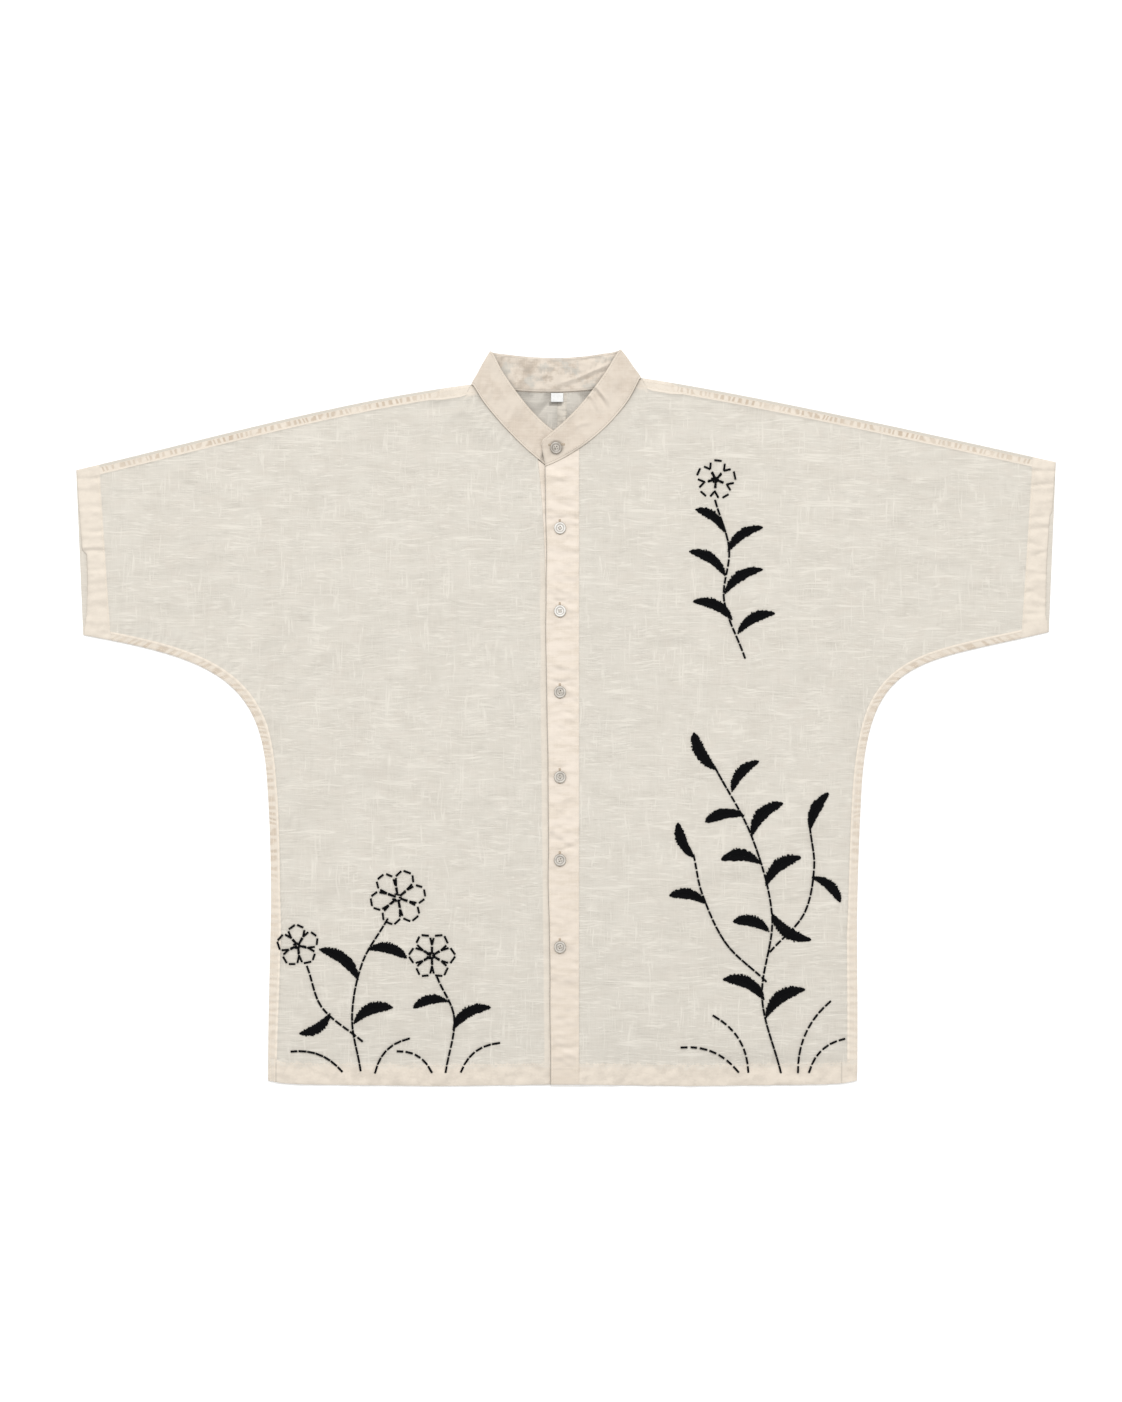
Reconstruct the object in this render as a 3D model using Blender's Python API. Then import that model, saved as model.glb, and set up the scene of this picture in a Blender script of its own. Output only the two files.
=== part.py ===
"""Cotton shirt with a band collar and kimono sleeves, laid flat and face up.

Units are metres with +Z up. The collar points to +Y and the wearer's left is +X.
Constants and tables are in millimetres and are scaled once, when a mesh is made.
"""

import math

import bmesh
import bpy
from mathutils import Vector

MM = 0.001

# Heights of the layers, from the floor up
GAP = 0.3
BACK_WALL = 1.0
BACK_BAND_WALL = 1.3
FRONT_WALL = 1.1
FRONT_BAND_WALL = 1.6
FRONT_BASE = BACK_BAND_WALL + GAP
OVERLAP_BASE = 3.0
COLLAR_WALL = 1.0
COLLAR_SPLIT = 0.34
COLLAR_HALF = COLLAR_WALL + COLLAR_SPLIT / 2
COLLAR_LOW = FRONT_BASE + COLLAR_HALF
COLLAR_OVERLAP = COLLAR_LOW + 2 * COLLAR_HALF + GAP
COLLAR_FOLD_RADIUS = 1.8
OVERLAP_BASE_AT_NECK = COLLAR_LOW + COLLAR_HALF + GAP

# Widths of the folded bands and seam allowances
CUFF_BAND = 28.0
HEM_BAND = 22.0
SIDE_BAND = 11.0
SHOULDER_BAND = 11.0
BACK_SEAM_BAND = 5.0
BAND_STEP = 0.6
SEAM_SETBACK = 0.6
LIFT_REACH = 60.0
HEM_Y = -367.1

# Front placket
PLACKET_EDGE_X = 13.0
BACK_SEAM_X = -4.0
PLACKET_RISE = (197.0, 244.0)

# Buttons
BUTTON_DIAMETER = 12.0
BUTTON_THICKNESS = 2.4
BUTTON_RIM = 1.5
BUTTON_DISH = 0.7
BUTTON_HOLE = 1.5
BUTTON_HOLE_SPREAD = 2.6
BUTTON_SIDES = 28

# Size tab inside the back neck
TAB_X = (-15.0, -2.7)
TAB_Y = (315.5, 324.6)
TAB_WALL = 1.0
TAB_TILT = 1.1

# Curves of the outline, each a cubic Bezier with four points (x, y)
CURVES = {
    "right_underarm": ((-483, 82.5), (-353, 59.5), (-305, 37.5), (-299, -62.5)),
    "right_side_high": ((-299, -62.5), (-296, -105), (-295, -140), (-295, -190)),
    "right_side_low": ((-295, -190), (-296, -250), (-298, -300), (-298, -363.1)),
    "right_shoulder": ((-490, 247.5), (-370, 275), (-230, 316), (-95.3, 333)),
    "left_underarm": ((483, 85.5), (348, 53.5), (301, 62.5), (295, -82.5)),
    "left_side_high": ((295, -82.5), (293, -120), (292, -150), (291, -200)),
    "left_side_low": ((291, -200), (291, -260), (292, -310), (291, -363.1)),
    "left_shoulder": ((490, 255.5), (352, 286), (180, 324), (75.9, 339.5)),
    "right_neck_seam": ((-95, 333.5), (-78, 308), (-51, 277), (-26, 257.5)),
    "right_collar_top": ((-76, 366.5), (-58, 336), (-36, 303), (-10, 285.5)),
    "left_neck_seam": ((75.5, 340), (58, 305), (28, 274), (-12, 255)),
    "left_collar_top": ((55, 368.5), (37, 343), (20, 312), (-19, 281.8)),
    "back_neck_seam": ((-95, 333.5), (-50, 323), (30, 320), (75.5, 340)),
    "back_collar_top": ((-76, 366.5), (-36, 357), (20, 357), (55, 368.5)),
    "underlap_edge": ((-28.3, 258), (-24.5, 150), (-20.8, 0), (-16.6, HEM_Y)),
    "overlap_edge": ((-20.6, 251), (-20.5, 120), (-19.0, -100), (-15.6, HEM_Y)),
}

# Folds of the collar: seam end (x, y) and top end (x, y) of the outer edge
FOLDS = {
    "right": ((-95, 333.5), (-76, 366.5)),
    "left": ((75.5, 340), (55, 368.5)),
}

# Ends of the two collar stretches: seam x, seam y, top x, top y
UNDERLAP_END = ((-19, 251.5, -4, 284.6), (-6, 249.5, 3, 282.8), (4, 249.8, 7.5, 279), (8.5, 251, 9, 272))
OVERLAP_END = ((-12, 255, -19, 281.8), (-17, 252.9, -23.2, 278.6), (-20.6, 251.4, -25, 273.5))

# Inner points along the top of the underlap band, in x
UNDERLAP_TOP_X = (-23.5, -19.0, -12.5, -6.0, -1.0, 4.0)

# Height of the collar's middle surface: share of the stretch, at the seam edge, at the top edge
UNDERLAP_HEIGHT = ((0.0, 4.75, 4.75), (0.33, 4.1, 4.3), (0.6, 3.3, 3.5), (0.85, COLLAR_LOW, COLLAR_LOW))
OVERLAP_HEIGHT = ((0.0, 4.75, 4.75), (0.4, 4.4, 4.6), (0.58, 4.8, 5.0), (0.7, COLLAR_OVERLAP, COLLAR_OVERLAP))

# Buttons: name, x, y, turn in degrees
BUTTONS = (
    ("button_1", -10.0, 269.5, 12.0),
    ("button_2", -6.0, 189.5, 40.0),
    ("button_3", -6.0, 106.5, 5.0),
    ("button_4", -6.0, 25.5, 28.0),
    ("button_5", -6.0, -59.5, 50.0),
    ("button_6", -6.0, -142.5, 18.0),
    ("button_7", -6.0, -229.5, 35.0),
)

# Hem line below the straight line between its ends: share from the side, drop
HEM_DROP = ((0.0, 0.0), (0.05, 2.4), (0.12, 3.4), (0.6, 3.0), (1.0, 0.0))

# Colours of the cloth and trim, linear
COLOURS = {
    "front": (0.76, 0.72, 0.64),
    "back": (0.70, 0.66, 0.58),
    "band": (0.83, 0.77, 0.67),
    "collar": (0.78, 0.69, 0.60),
    "collar_lining": (0.70, 0.64, 0.54),
    "tab": (0.90, 0.90, 0.88),
    "button": (0.72, 0.74, 0.74),
}


def clear_scene():
    for thing in list(bpy.data.objects):
        bpy.data.objects.remove(thing, do_unlink=True)


def material(name, colour, roughness):
    made = bpy.data.materials.new(name)
    made.use_nodes = True
    shader = made.node_tree.nodes["Principled BSDF"]
    shader.inputs["Base Color"].default_value = (*colour, 1.0)
    shader.inputs["Roughness"].default_value = roughness
    return made


def smooth(value):
    value = min(1.0, max(0.0, value))
    return value * value * (3.0 - 2.0 * value)


def mix(a, b, share):
    return a + (b - a) * share


def look_up(table, share, column=1):
    for first, second in zip(table, table[1:]):
        if share <= second[0]:
            part = (share - first[0]) / (second[0] - first[0])
            return mix(first[column], second[column], max(0.0, part))
    return table[-1][column]


def bezier(control, samples=96):
    points = [Vector(p) for p in control]
    result = []
    for i in range(samples + 1):
        t = i / samples
        s = 1.0 - t
        result.append(points[0] * s ** 3 + points[1] * 3 * s * s * t
                      + points[2] * 3 * s * t * t + points[3] * t ** 3)
    return result


def length_of(line):
    return sum((b - a).length for a, b in zip(line, line[1:]))


def at_distance(line, distance):
    for a, b in zip(line, line[1:]):
        step = (b - a).length
        if distance <= step:
            return a.lerp(b, max(0.0, distance) / step)
        distance -= step
    return line[-1].copy()


def shifted(line, amount):
    """The line moved to its left by the amount."""
    result = []
    for i, point in enumerate(line):
        ahead = line[min(i + 1, len(line) - 1)]
        behind = line[max(i - 1, 0)]
        direction = (ahead - behind).normalized()
        result.append(point + Vector((-direction.y, direction.x)) * amount)
    return result


def cut_at_x(line, x):
    """The part of the line before it first crosses the given x, with the crossing."""
    kept = [line[0]]
    for a, b in zip(line, line[1:]):
        if (a.x - x) * (b.x - x) <= 0 and a.x != b.x:
            kept.append(a.lerp(b, (x - a.x) / (b.x - a.x)))
            return kept
        kept.append(b)
    return kept


def y_at_x(line, x):
    return cut_at_x(line, x)[-1].y


def x_at_y(line, y):
    for a, b in zip(line, line[1:]):
        if (a.y - y) * (b.y - y) <= 0 and a.y != b.y:
            return mix(a.x, b.x, (y - a.y) / (b.y - a.y))
    return line[0].x if y > line[0].y else line[-1].x


def spans(length, count, start=0.0, end=0.0):
    """Distances along an edge, with a stepped band at its start and end."""
    first = [0.0, start, start + BAND_STEP] if start else [0.0]
    last = [length - end - BAND_STEP, length - end, length] if end else [length]
    inner = [mix(first[-1], last[0], i / count) for i in range(1, count)]
    return first + inner + last


def paired(outer, inner, count, start=0.0, end=0.0):
    """Matching points of two edges, as (outer point, inner point)."""
    far = [at_distance(outer, d) for d in spans(length_of(outer), count, start, end)]
    near = [at_distance(inner, d) for d in spans(length_of(inner), count, start, end)]
    return list(zip(far, near))


def build_wall(name, low, high, colour, roughness=0.85):
    """A closed body between two grids of points in millimetres."""
    rows = len(low)
    columns = len(low[0])
    mesh = bmesh.new()
    under = [[mesh.verts.new(Vector(p) * MM) for p in row] for row in low]
    over = [[mesh.verts.new(Vector(p) * MM) for p in row] for row in high]
    for i in range(rows - 1):
        for j in range(columns - 1):
            mesh.faces.new((over[i][j], over[i][j + 1], over[i + 1][j + 1], over[i + 1][j]))
            mesh.faces.new((under[i][j], under[i + 1][j], under[i + 1][j + 1], under[i][j + 1]))
    for i in range(rows - 1):
        for j, turn in ((0, 1), (columns - 1, -1)):
            side = [under[i][j], over[i][j], over[i + 1][j], under[i + 1][j]]
            mesh.faces.new(side[::turn])
    for j in range(columns - 1):
        for i, turn in ((0, -1), (rows - 1, 1)):
            side = [under[i][j], over[i][j], over[i][j + 1], under[i][j + 1]]
            mesh.faces.new(side[::turn])
    bmesh.ops.recalc_face_normals(mesh, faces=mesh.faces)
    return finish(name, mesh, colour, roughness)


def finish(name, mesh, colour, roughness):
    data = bpy.data.meshes.new(name)
    mesh.to_mesh(data)
    mesh.free()
    made = bpy.data.objects.new(name, data)
    bpy.context.scene.collection.objects.link(made)
    data.materials.append(material(name + "_finish", COLOURS[colour], roughness))
    return made


def column_places(far, near, edge_direction, inner_band, count=5):
    """Distances along one row of a panel, with the seam bands at both ends."""
    row = near - far
    length = row.length
    sine = abs(row.normalized().cross(edge_direction))
    outer_band = SIDE_BAND / max(0.6, sine)
    return spans(length, count, outer_band, inner_band)


def panel(name, side, front, colour):
    """A front or back half with its half sleeve, as rows from the outer to the inner edge."""
    curves = {key: bezier(value) for key, value in CURVES.items()}
    neck, centre = inner_edges(side, front, curves)
    hem_end = len(centre) - 1
    rows = paired(curves[side + "_underarm"], curves[side + "_shoulder"], 8, start=CUFF_BAND)
    sleeve_rows = len(rows)
    rows += paired(curves[side + "_side_high"], neck, 8, start=(neck[1] - neck[0]).length)[1:]
    neck_rows = len(rows)
    rows += paired(curves[side + "_side_low"], centre[:hem_end + 1], 6, end=HEM_BAND)[1:]

    away = -1.0 if side == "right" else 1.0
    wall = FRONT_WALL if front else BACK_WALL
    band_wall = FRONT_BAND_WALL if front else BACK_BAND_WALL
    base = FRONT_BASE if front else 0.0
    inner_band = SHOULDER_BAND if front else BACK_SEAM_BAND
    low = []
    high = []
    for i, (far, near) in enumerate(rows):
        before = rows[max(0, i - 1)][0]
        after = rows[min(len(rows) - 1, i + 1)][0]
        along = (after - before).normalized()
        places = column_places(far, near, along, inner_band)
        length = (near - far).length
        lift = inner_lift(side, front, i, sleeve_rows, neck_rows, near)
        cuff_share = max(0.0, 1.0 - (far - rows[0][0]).length / 70.0)
        hem_share = smooth(1.0 - abs(near.y - HEM_Y) / 90.0) if i >= neck_rows else 0.0
        row_low = []
        row_high = []
        for j, place in enumerate(places):
            share = place / length
            point = far.lerp(near, share)
            if front:
                point.x -= away * 5.5 * cuff_share * math.sin(math.pi * share)
            point.y -= look_up(HEM_DROP, share) * hem_share
            floor = base + lift * smooth(1.0 - (length - place) / LIFT_REACH)
            in_band = (i < 2 or i > len(rows) - 3 or j < 2
                       or (j > len(places) - 3 and band_on_inner(front, i, sleeve_rows, neck_rows)))
            row_low.append((point.x, point.y, floor))
            row_high.append((point.x, point.y, floor + (band_wall if in_band else wall)))
        low.append(row_low)
        high.append(row_high)
    return build_wall(name, low, high, colour)


def band_on_inner(front, row, sleeve_rows, neck_rows):
    if row < sleeve_rows - 1:
        return True
    return not front and row >= neck_rows - 1


def inner_edges(side, front, curves):
    """The neckline and the centre edge of a panel, each from the shoulder downwards."""
    if not front:
        whole = shifted([section[0].xy for section in collar_back()], -SEAM_SETBACK)
        centre_x = BACK_SEAM_X + (-GAP / 2 if side == "right" else GAP / 2)
        if side == "left":
            whole = whole[::-1]
        neck = cut_at_x(whole, centre_x)
        top = neck[-1]
        centre = [top.lerp(Vector((centre_x, HEM_Y)), i / 40) for i in range(41)]
    elif side == "right":
        neck = cut_at_x(shifted(front_seam("right"), -SEAM_SETBACK), -28.3)
        edge = curves["underlap_edge"]
        centre = [neck[-1]] + [p for p in edge if p.y < neck[-1].y - 4.0]
    else:
        neck = cut_at_x(shifted(front_seam("left"), SEAM_SETBACK), PLACKET_EDGE_X + GAP / 2)
        top = neck[-1]
        centre = [top.lerp(Vector((PLACKET_EDGE_X + GAP / 2, HEM_Y)), i / 40) for i in range(41)]
    neck.insert(0, bezier(CURVES[side + "_shoulder"])[-1])
    return neck, centre


def inner_lift(side, front, row, sleeve_rows, neck_rows, near):
    """How far the inner edge of a front rises over what lies below it."""
    if not front:
        return 0.0
    if row < sleeve_rows - 1:
        return 1.0 * smooth((row - sleeve_rows + 4) / 3.0)
    if row < neck_rows:
        share = (row - sleeve_rows + 1) / (neck_rows - sleeve_rows)
        end = OVERLAP_BASE_AT_NECK - FRONT_BASE if side == "left" else 0.0
        return mix(1.0, end, smooth(share))
    return placket_base(near.y) - FRONT_BASE if side == "left" else 0.0


def placket_base(y):
    rise = smooth((y - PLACKET_RISE[0]) / (PLACKET_RISE[1] - PLACKET_RISE[0]))
    return mix(OVERLAP_BASE, OVERLAP_BASE_AT_NECK, rise)


def placket(name, over):
    """One front band, from the neck to the hem."""
    if over:
        seam = shifted(front_seam("left"), SEAM_SETBACK)
        edge = bezier(CURVES["overlap_edge"])
        limits = (lambda y: x_at_y(edge, y), lambda y: PLACKET_EDGE_X - GAP / 2)
    else:
        seam = shifted(front_seam("right"), -SEAM_SETBACK)
        edge = bezier(CURVES["underlap_edge"])
        limits = (lambda y: x_at_y(edge, y) + 0.4, lambda y: 9.5)
    columns = 7
    heights = [244.5, 228.0, 212.0, 196.5, 120.0, 40.0, -40.0, -120.0, -200.0, -290.0,
               HEM_Y + HEM_BAND + BAND_STEP, HEM_Y + HEM_BAND, HEM_Y]
    low = []
    high = []
    for i in range(-1, len(heights)):
        row_low = []
        row_high = []
        for j in range(columns + 1):
            share = j / columns
            y = heights[max(i, 0)]
            x = mix(limits[0](y), limits[1](y), share)
            if i < 0:
                x = mix(limits[0](252.0), limits[1](252.0), share)
                if not over and 0 < j < columns:
                    x = UNDERLAP_TOP_X[j - 1]
                y = y_at_x(seam, x)
            base = placket_base(y) if over else FRONT_BASE
            wall = FRONT_WALL
            if over and y < HEM_Y + HEM_BAND + BAND_STEP / 2:
                wall = FRONT_BAND_WALL
            row_low.append((x, y, base))
            row_high.append((x, y, base + wall))
        low.append(row_low)
        high.append(row_high)
    return build_wall(name, low, high, "band")


def front_seam(side):
    """The seam edge of a front collar stretch, from the fold to a little past its free end."""
    if side == "right":
        sections = collar_stretch("right", "right_neck_seam", "right_collar_top", UNDERLAP_HEIGHT, UNDERLAP_END)
        return [section[0].xy for section in sections] + [Vector((14.0, 252.0))]
    sections = collar_stretch("left", "left_neck_seam", "left_collar_top", OVERLAP_HEIGHT, OVERLAP_END[1:])
    return [section[0].xy for section in sections] + [Vector((-25.0, 250.0))]


def fold_frame(side):
    seam, top = (Vector(p) for p in FOLDS[side])
    along = (top - seam).normalized()
    outward = Vector((-along.y, along.x)) if side == "right" else Vector((along.y, -along.x))
    inset = COLLAR_FOLD_RADIUS + COLLAR_HALF
    return seam - outward * inset, top - outward * inset, outward


def collar_stretch(side, seam_name, top_name, heights, ends):
    """Sections of a front stretch from the fold to its free end."""
    seam_start, top_start, _ = fold_frame(side)
    seam = bezier(CURVES[seam_name])
    top = bezier(CURVES[top_name])
    sections = []
    count = 10
    for i in range(count + 1):
        share = i / count
        seam_point = at_distance(seam, share * length_of(seam))
        top_point = at_distance(top, share * length_of(top))
        settle = smooth(1.0 - share * 4.0)
        seam_point += (seam_start - seam[0]) * settle
        top_point += (top_start - top[0]) * settle
        z_seam = look_up(heights, share, 1)
        z_top = look_up(heights, share, 2)
        sections.append((Vector((*seam_point, z_seam)), Vector((*top_point, z_top)), Vector((0, 0, 1))))
    for seam_x, seam_y, top_x, top_y in ends:
        z = heights[-1][1]
        sections.append((Vector((seam_x, seam_y, z)), Vector((top_x, top_y, z)), Vector((0, 0, 1))))
    return sections


def collar_fold(side):
    """Sections round a fold, from the back stretch up to the front stretch."""
    seam, top, outward = fold_frame(side)
    middle = COLLAR_HALF + COLLAR_FOLD_RADIUS
    sections = []
    steps = 8
    for i in range(1, steps):
        angle = -math.pi / 2 + math.pi * i / steps
        normal = Vector((*(outward * math.cos(angle)), math.sin(angle)))
        offset = normal * COLLAR_FOLD_RADIUS
        sections.append((Vector((*seam, middle)) + offset, Vector((*top, middle)) + offset, normal))
    return sections


def collar_back():
    """Sections of the back stretch, from the right fold to the left fold."""
    seam = bezier(CURVES["back_neck_seam"])
    top = bezier(CURVES["back_collar_top"])
    right = fold_frame("right")
    left = fold_frame("left")
    sections = []
    count = 10
    for i in range(count + 1):
        share = i / count
        seam_point = at_distance(seam, share * length_of(seam))
        top_point = at_distance(top, share * length_of(top))
        near_right = smooth(1.0 - share * 6.0)
        near_left = smooth(1.0 - (1.0 - share) * 6.0)
        seam_point += (right[0] - seam[0]) * near_right + (left[0] - seam[-1]) * near_left
        top_point += (right[1] - top[0]) * near_right + (left[1] - top[-1]) * near_left
        sections.append((Vector((*seam_point, COLLAR_HALF)), Vector((*top_point, COLLAR_HALF)),
                         Vector((0, 0, -1))))
    return sections


def collar_sections():
    under = collar_stretch("right", "right_neck_seam", "right_collar_top", UNDERLAP_HEIGHT, UNDERLAP_END)
    over = collar_stretch("left", "left_neck_seam", "left_collar_top", OVERLAP_HEIGHT, OVERLAP_END[1:])
    return (under[::-1] + collar_fold("right")[::-1] + collar_back()
            + collar_fold("left") + over)


def collar_layer(name, inner_offset, outer_offset, colour):
    """One cloth layer of the collar, offset from its middle surface."""
    columns = 3
    low = []
    high = []
    for seam, top, normal in collar_sections():
        low.append([seam.lerp(top, j / columns) + normal * inner_offset for j in range(columns + 1)])
        high.append([seam.lerp(top, j / columns) + normal * outer_offset for j in range(columns + 1)])
    return build_wall(name, low, high, colour)


def size_tab():
    low = []
    high = []
    rows = 4
    for i in range(rows + 1):
        share = i / rows
        y = mix(TAB_Y[1], TAB_Y[0], share)
        z = FRONT_BASE + TAB_TILT * math.sin(share * math.pi / 2) ** 2
        low.append([(x, y, z) for x in (TAB_X[0], sum(TAB_X) / 2, TAB_X[1])])
        high.append([(x, y, z + TAB_WALL) for x in (TAB_X[0], sum(TAB_X) / 2, TAB_X[1])])
    return build_wall("size_tab", low, high, "tab", 0.6)


def revolved(profile, sides):
    """A closed turned body from (radius, height) pairs that start and end on the axis."""
    mesh = bmesh.new()
    rings = []
    for radius, height in profile:
        if radius == 0.0:
            rings.append([mesh.verts.new((0.0, 0.0, height * MM))])
            continue
        rings.append([mesh.verts.new((radius * MM * math.cos(2 * math.pi * k / sides),
                                      radius * MM * math.sin(2 * math.pi * k / sides),
                                      height * MM)) for k in range(sides)])
    for lower, upper in zip(rings, rings[1:]):
        for k in range(sides):
            n = (k + 1) % sides
            if len(lower) == 1:
                mesh.faces.new((lower[0], upper[n], upper[k]))
            elif len(upper) == 1:
                mesh.faces.new((lower[k], lower[n], upper[0]))
            else:
                mesh.faces.new((lower[k], lower[n], upper[n], upper[k]))
    bmesh.ops.recalc_face_normals(mesh, faces=mesh.faces)
    return mesh


def button(name, x, y, turn, base):
    """A four-hole button with a raised rim."""
    radius = BUTTON_DIAMETER / 2
    thick = BUTTON_THICKNESS
    profile = ((0.0, 0.0), (radius - 0.8, 0.0), (radius, 0.8), (radius, thick - 0.5),
               (radius - 0.5, thick), (radius - BUTTON_RIM + 0.2, thick),
               (radius - BUTTON_RIM - 0.3, thick - BUTTON_DISH), (0.0, thick - BUTTON_DISH))
    made = finish(name, revolved(profile, BUTTON_SIDES), "button", 0.3)
    drills = bmesh.new()
    for k in range(4):
        angle = math.pi / 4 + k * math.pi / 2
        where = Vector((math.cos(angle), math.sin(angle), 0.0)) * BUTTON_HOLE_SPREAD / math.sqrt(2)
        drill = bmesh.ops.create_cone(drills, cap_ends=True, segments=10, depth=8 * MM,
                                      radius1=BUTTON_HOLE / 2 * MM, radius2=BUTTON_HOLE / 2 * MM)
        bmesh.ops.translate(drills, verts=drill["verts"], vec=where * MM)
    cutter = finish(name + "_drills", drills, "button", 0.3)
    cut = made.modifiers.new("holes", "BOOLEAN")
    cut.operation = "DIFFERENCE"
    cut.solver = "EXACT"
    cut.object = cutter
    graph = bpy.context.evaluated_depsgraph_get()
    holed = bpy.data.meshes.new_from_object(made.evaluated_get(graph))
    made.modifiers.clear()
    made.data = holed
    bpy.data.objects.remove(cutter, do_unlink=True)
    holed.transform(matrix_turn(turn))
    for vertex in holed.vertices:
        vertex.co += Vector((x, y, base)) * MM
    return made


def matrix_turn(degrees):
    from mathutils import Matrix
    return Matrix.Rotation(math.radians(degrees), 4, "Z")


def build():
    clear_scene()
    panel("back_right", "right", False, "back")
    panel("back_left", "left", False, "back")
    panel("front_right", "right", True, "front")
    panel("front_left", "left", True, "front")
    placket("placket_under", False)
    placket("placket_over", True)
    collar_layer("collar_outer", COLLAR_SPLIT / 2, COLLAR_HALF, "collar")
    collar_layer("collar_inner", -COLLAR_HALF, -COLLAR_SPLIT / 2, "collar_lining")
    size_tab()
    for name, x, y, turn in BUTTONS:
        if name == "button_1":
            base = COLLAR_OVERLAP + COLLAR_HALF + GAP
        else:
            base = placket_base(y) + FRONT_WALL + GAP
        button(name, x, y, turn, base)


build()
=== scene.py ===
"""Looks of a cotton shirt with a band collar, laid flat and face up on a pale floor.

Tables and grids of points are in millimetres. Each cloth is a thin closed shell with the outline of
its solid. Values stored at its points tell the materials what lies where: which cloth is doubled, the painted
light and shade on the sides of creases, and the painted shade in corners, under edges and inside the neck.
"""

import math

import bmesh
import bpy
import numpy as np
from mathutils import Matrix, Vector
from mathutils.bvhtree import BVHTree


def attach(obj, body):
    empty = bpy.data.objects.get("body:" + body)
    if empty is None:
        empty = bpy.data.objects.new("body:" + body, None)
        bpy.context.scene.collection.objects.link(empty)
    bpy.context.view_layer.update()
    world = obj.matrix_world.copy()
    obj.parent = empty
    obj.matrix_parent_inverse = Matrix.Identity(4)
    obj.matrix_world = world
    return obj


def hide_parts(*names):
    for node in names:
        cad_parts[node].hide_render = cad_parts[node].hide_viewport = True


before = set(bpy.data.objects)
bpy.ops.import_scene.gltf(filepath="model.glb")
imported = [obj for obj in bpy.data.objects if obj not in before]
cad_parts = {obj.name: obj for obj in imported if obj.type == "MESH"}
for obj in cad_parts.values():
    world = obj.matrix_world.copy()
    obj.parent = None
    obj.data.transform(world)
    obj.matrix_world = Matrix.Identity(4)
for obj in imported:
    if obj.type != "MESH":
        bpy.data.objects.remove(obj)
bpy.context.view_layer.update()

MM = 0.001

# How many times the light and the surroundings together brighten a surface's own colour
LIGHT_LEVEL = 1.3

# Sizes and heights shared with the solids
BACK_TOP = 1.3
FRONT_BASE = 1.6
OVERLAP_BASE = 3.0
COLLAR_HALF = 1.17
LAYER_GAP = 0.3
COLLAR_LOW = FRONT_BASE + COLLAR_HALF
COLLAR_OVERLAP = COLLAR_LOW + 2 * COLLAR_HALF + LAYER_GAP
NECK_BASE = COLLAR_LOW + COLLAR_HALF + LAYER_GAP
FOLD_RADIUS = 1.8
HEM_Y = -367.1
PLACKET_EDGE_X = 13.0
BACK_SEAM_X = -4.0
PLACKET_RISE = (197.0, 244.0)
CUFF_BAND = 28.0
HEM_BAND = 22.0
BACK_INNER_BAND = 5.0

# Width of the sewn band along the shoulder
SHOULDER_BAND = 9.6

# How much narrower the hem of a cuff is at the shoulder than at the underarm
CUFF_TAPER = 4.5

# Thickness of the cloth and the least thickness under a trough
CLOTH = 0.8
THIN_CLOTH = 0.3

# Distance given to points of the parts that have no cuff or no hem
FAR_OFF = 500.0

# How far past the edge of a band a point still counts as in it
REACH = 0.05

# Half width of the doubled cloth at the centre back seam, and how far in the side seam shows, in metres
SEAM_ALLOWANCE = 0.0056
SIDE_SEAM_PLACE = 0.0155

# Outline curves, each a cubic Bezier with four points (x, y)
CURVES = {
    "right_underarm": ((-483, 82.5), (-353, 59.5), (-305, 37.5), (-299, -62.5)),
    "right_side_high": ((-299, -62.5), (-296, -105), (-295, -140), (-295, -190)),
    "right_side_low": ((-295, -190), (-296, -250), (-298, -300), (-298, -363.1)),
    "right_shoulder": ((-490, 247.5), (-370, 275), (-230, 316), (-95.3, 333)),
    "left_underarm": ((483, 85.5), (348, 53.5), (301, 62.5), (295, -82.5)),
    "left_side_high": ((295, -82.5), (293, -120), (292, -150), (291, -200)),
    "left_side_low": ((291, -200), (291, -260), (292, -310), (291, -363.1)),
    "left_shoulder": ((490, 255.5), (352, 286), (180, 324), (75.9, 339.5)),
    "right_neck_seam": ((-95, 333.5), (-78, 308), (-51, 277), (-26, 257.5)),
    "right_collar_top": ((-76, 366.5), (-58, 336), (-36, 303), (-10, 285.5)),
    "left_neck_seam": ((75.5, 340), (58, 305), (28, 274), (-12, 255)),
    "left_collar_top": ((55, 368.5), (37, 343), (20, 312), (-19, 281.8)),
    "back_neck_seam": ((-95, 333.5), (-50, 323), (30, 320), (75.5, 340)),
    "back_collar_top": ((-76, 366.5), (-36, 357), (20, 357), (55, 368.5)),
    "underlap_edge": ((-28.3, 258), (-19.0, 190), (-17.5, 60), (-13.6, HEM_Y)),
    "overlap_edge": ((-20.6, 251), (-20.5, 120), (-19.0, -100), (-15.6, HEM_Y)),
}

# Outer edges of the collar's folds: seam end (x, y), top end (x, y)
FOLDS = {
    "right": ((-95, 333.5), (-76, 366.5)),
    "left": ((75.5, 340), (55, 368.5)),
}

# Free ends of the collar: seam x, seam y, top x, top y
UNDERLAP_END = ((-19, 251.5, -4, 284.6), (-6, 249.5, 3, 282.8), (4, 249.8, 7.5, 279), (8.5, 251, 9, 272))
OVERLAP_END = ((-12, 255, -19, 281.8), (-17, 252.9, -23.2, 278.6), (-20.6, 251.4, -25, 273.5))

# Height of the collar's middle surface: share of the stretch, at the seam edge, at the top edge
UNDERLAP_HEIGHT = ((0.0, 4.75, 4.75), (0.33, 4.1, 4.3), (0.6, 3.3, 3.5), (0.85, COLLAR_LOW, COLLAR_LOW))
OVERLAP_HEIGHT = ((0.0, 4.75, 4.75), (0.4, 4.4, 4.6), (0.58, 4.8, 5.0), (0.7, COLLAR_OVERLAP, COLLAR_OVERLAP))

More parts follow.
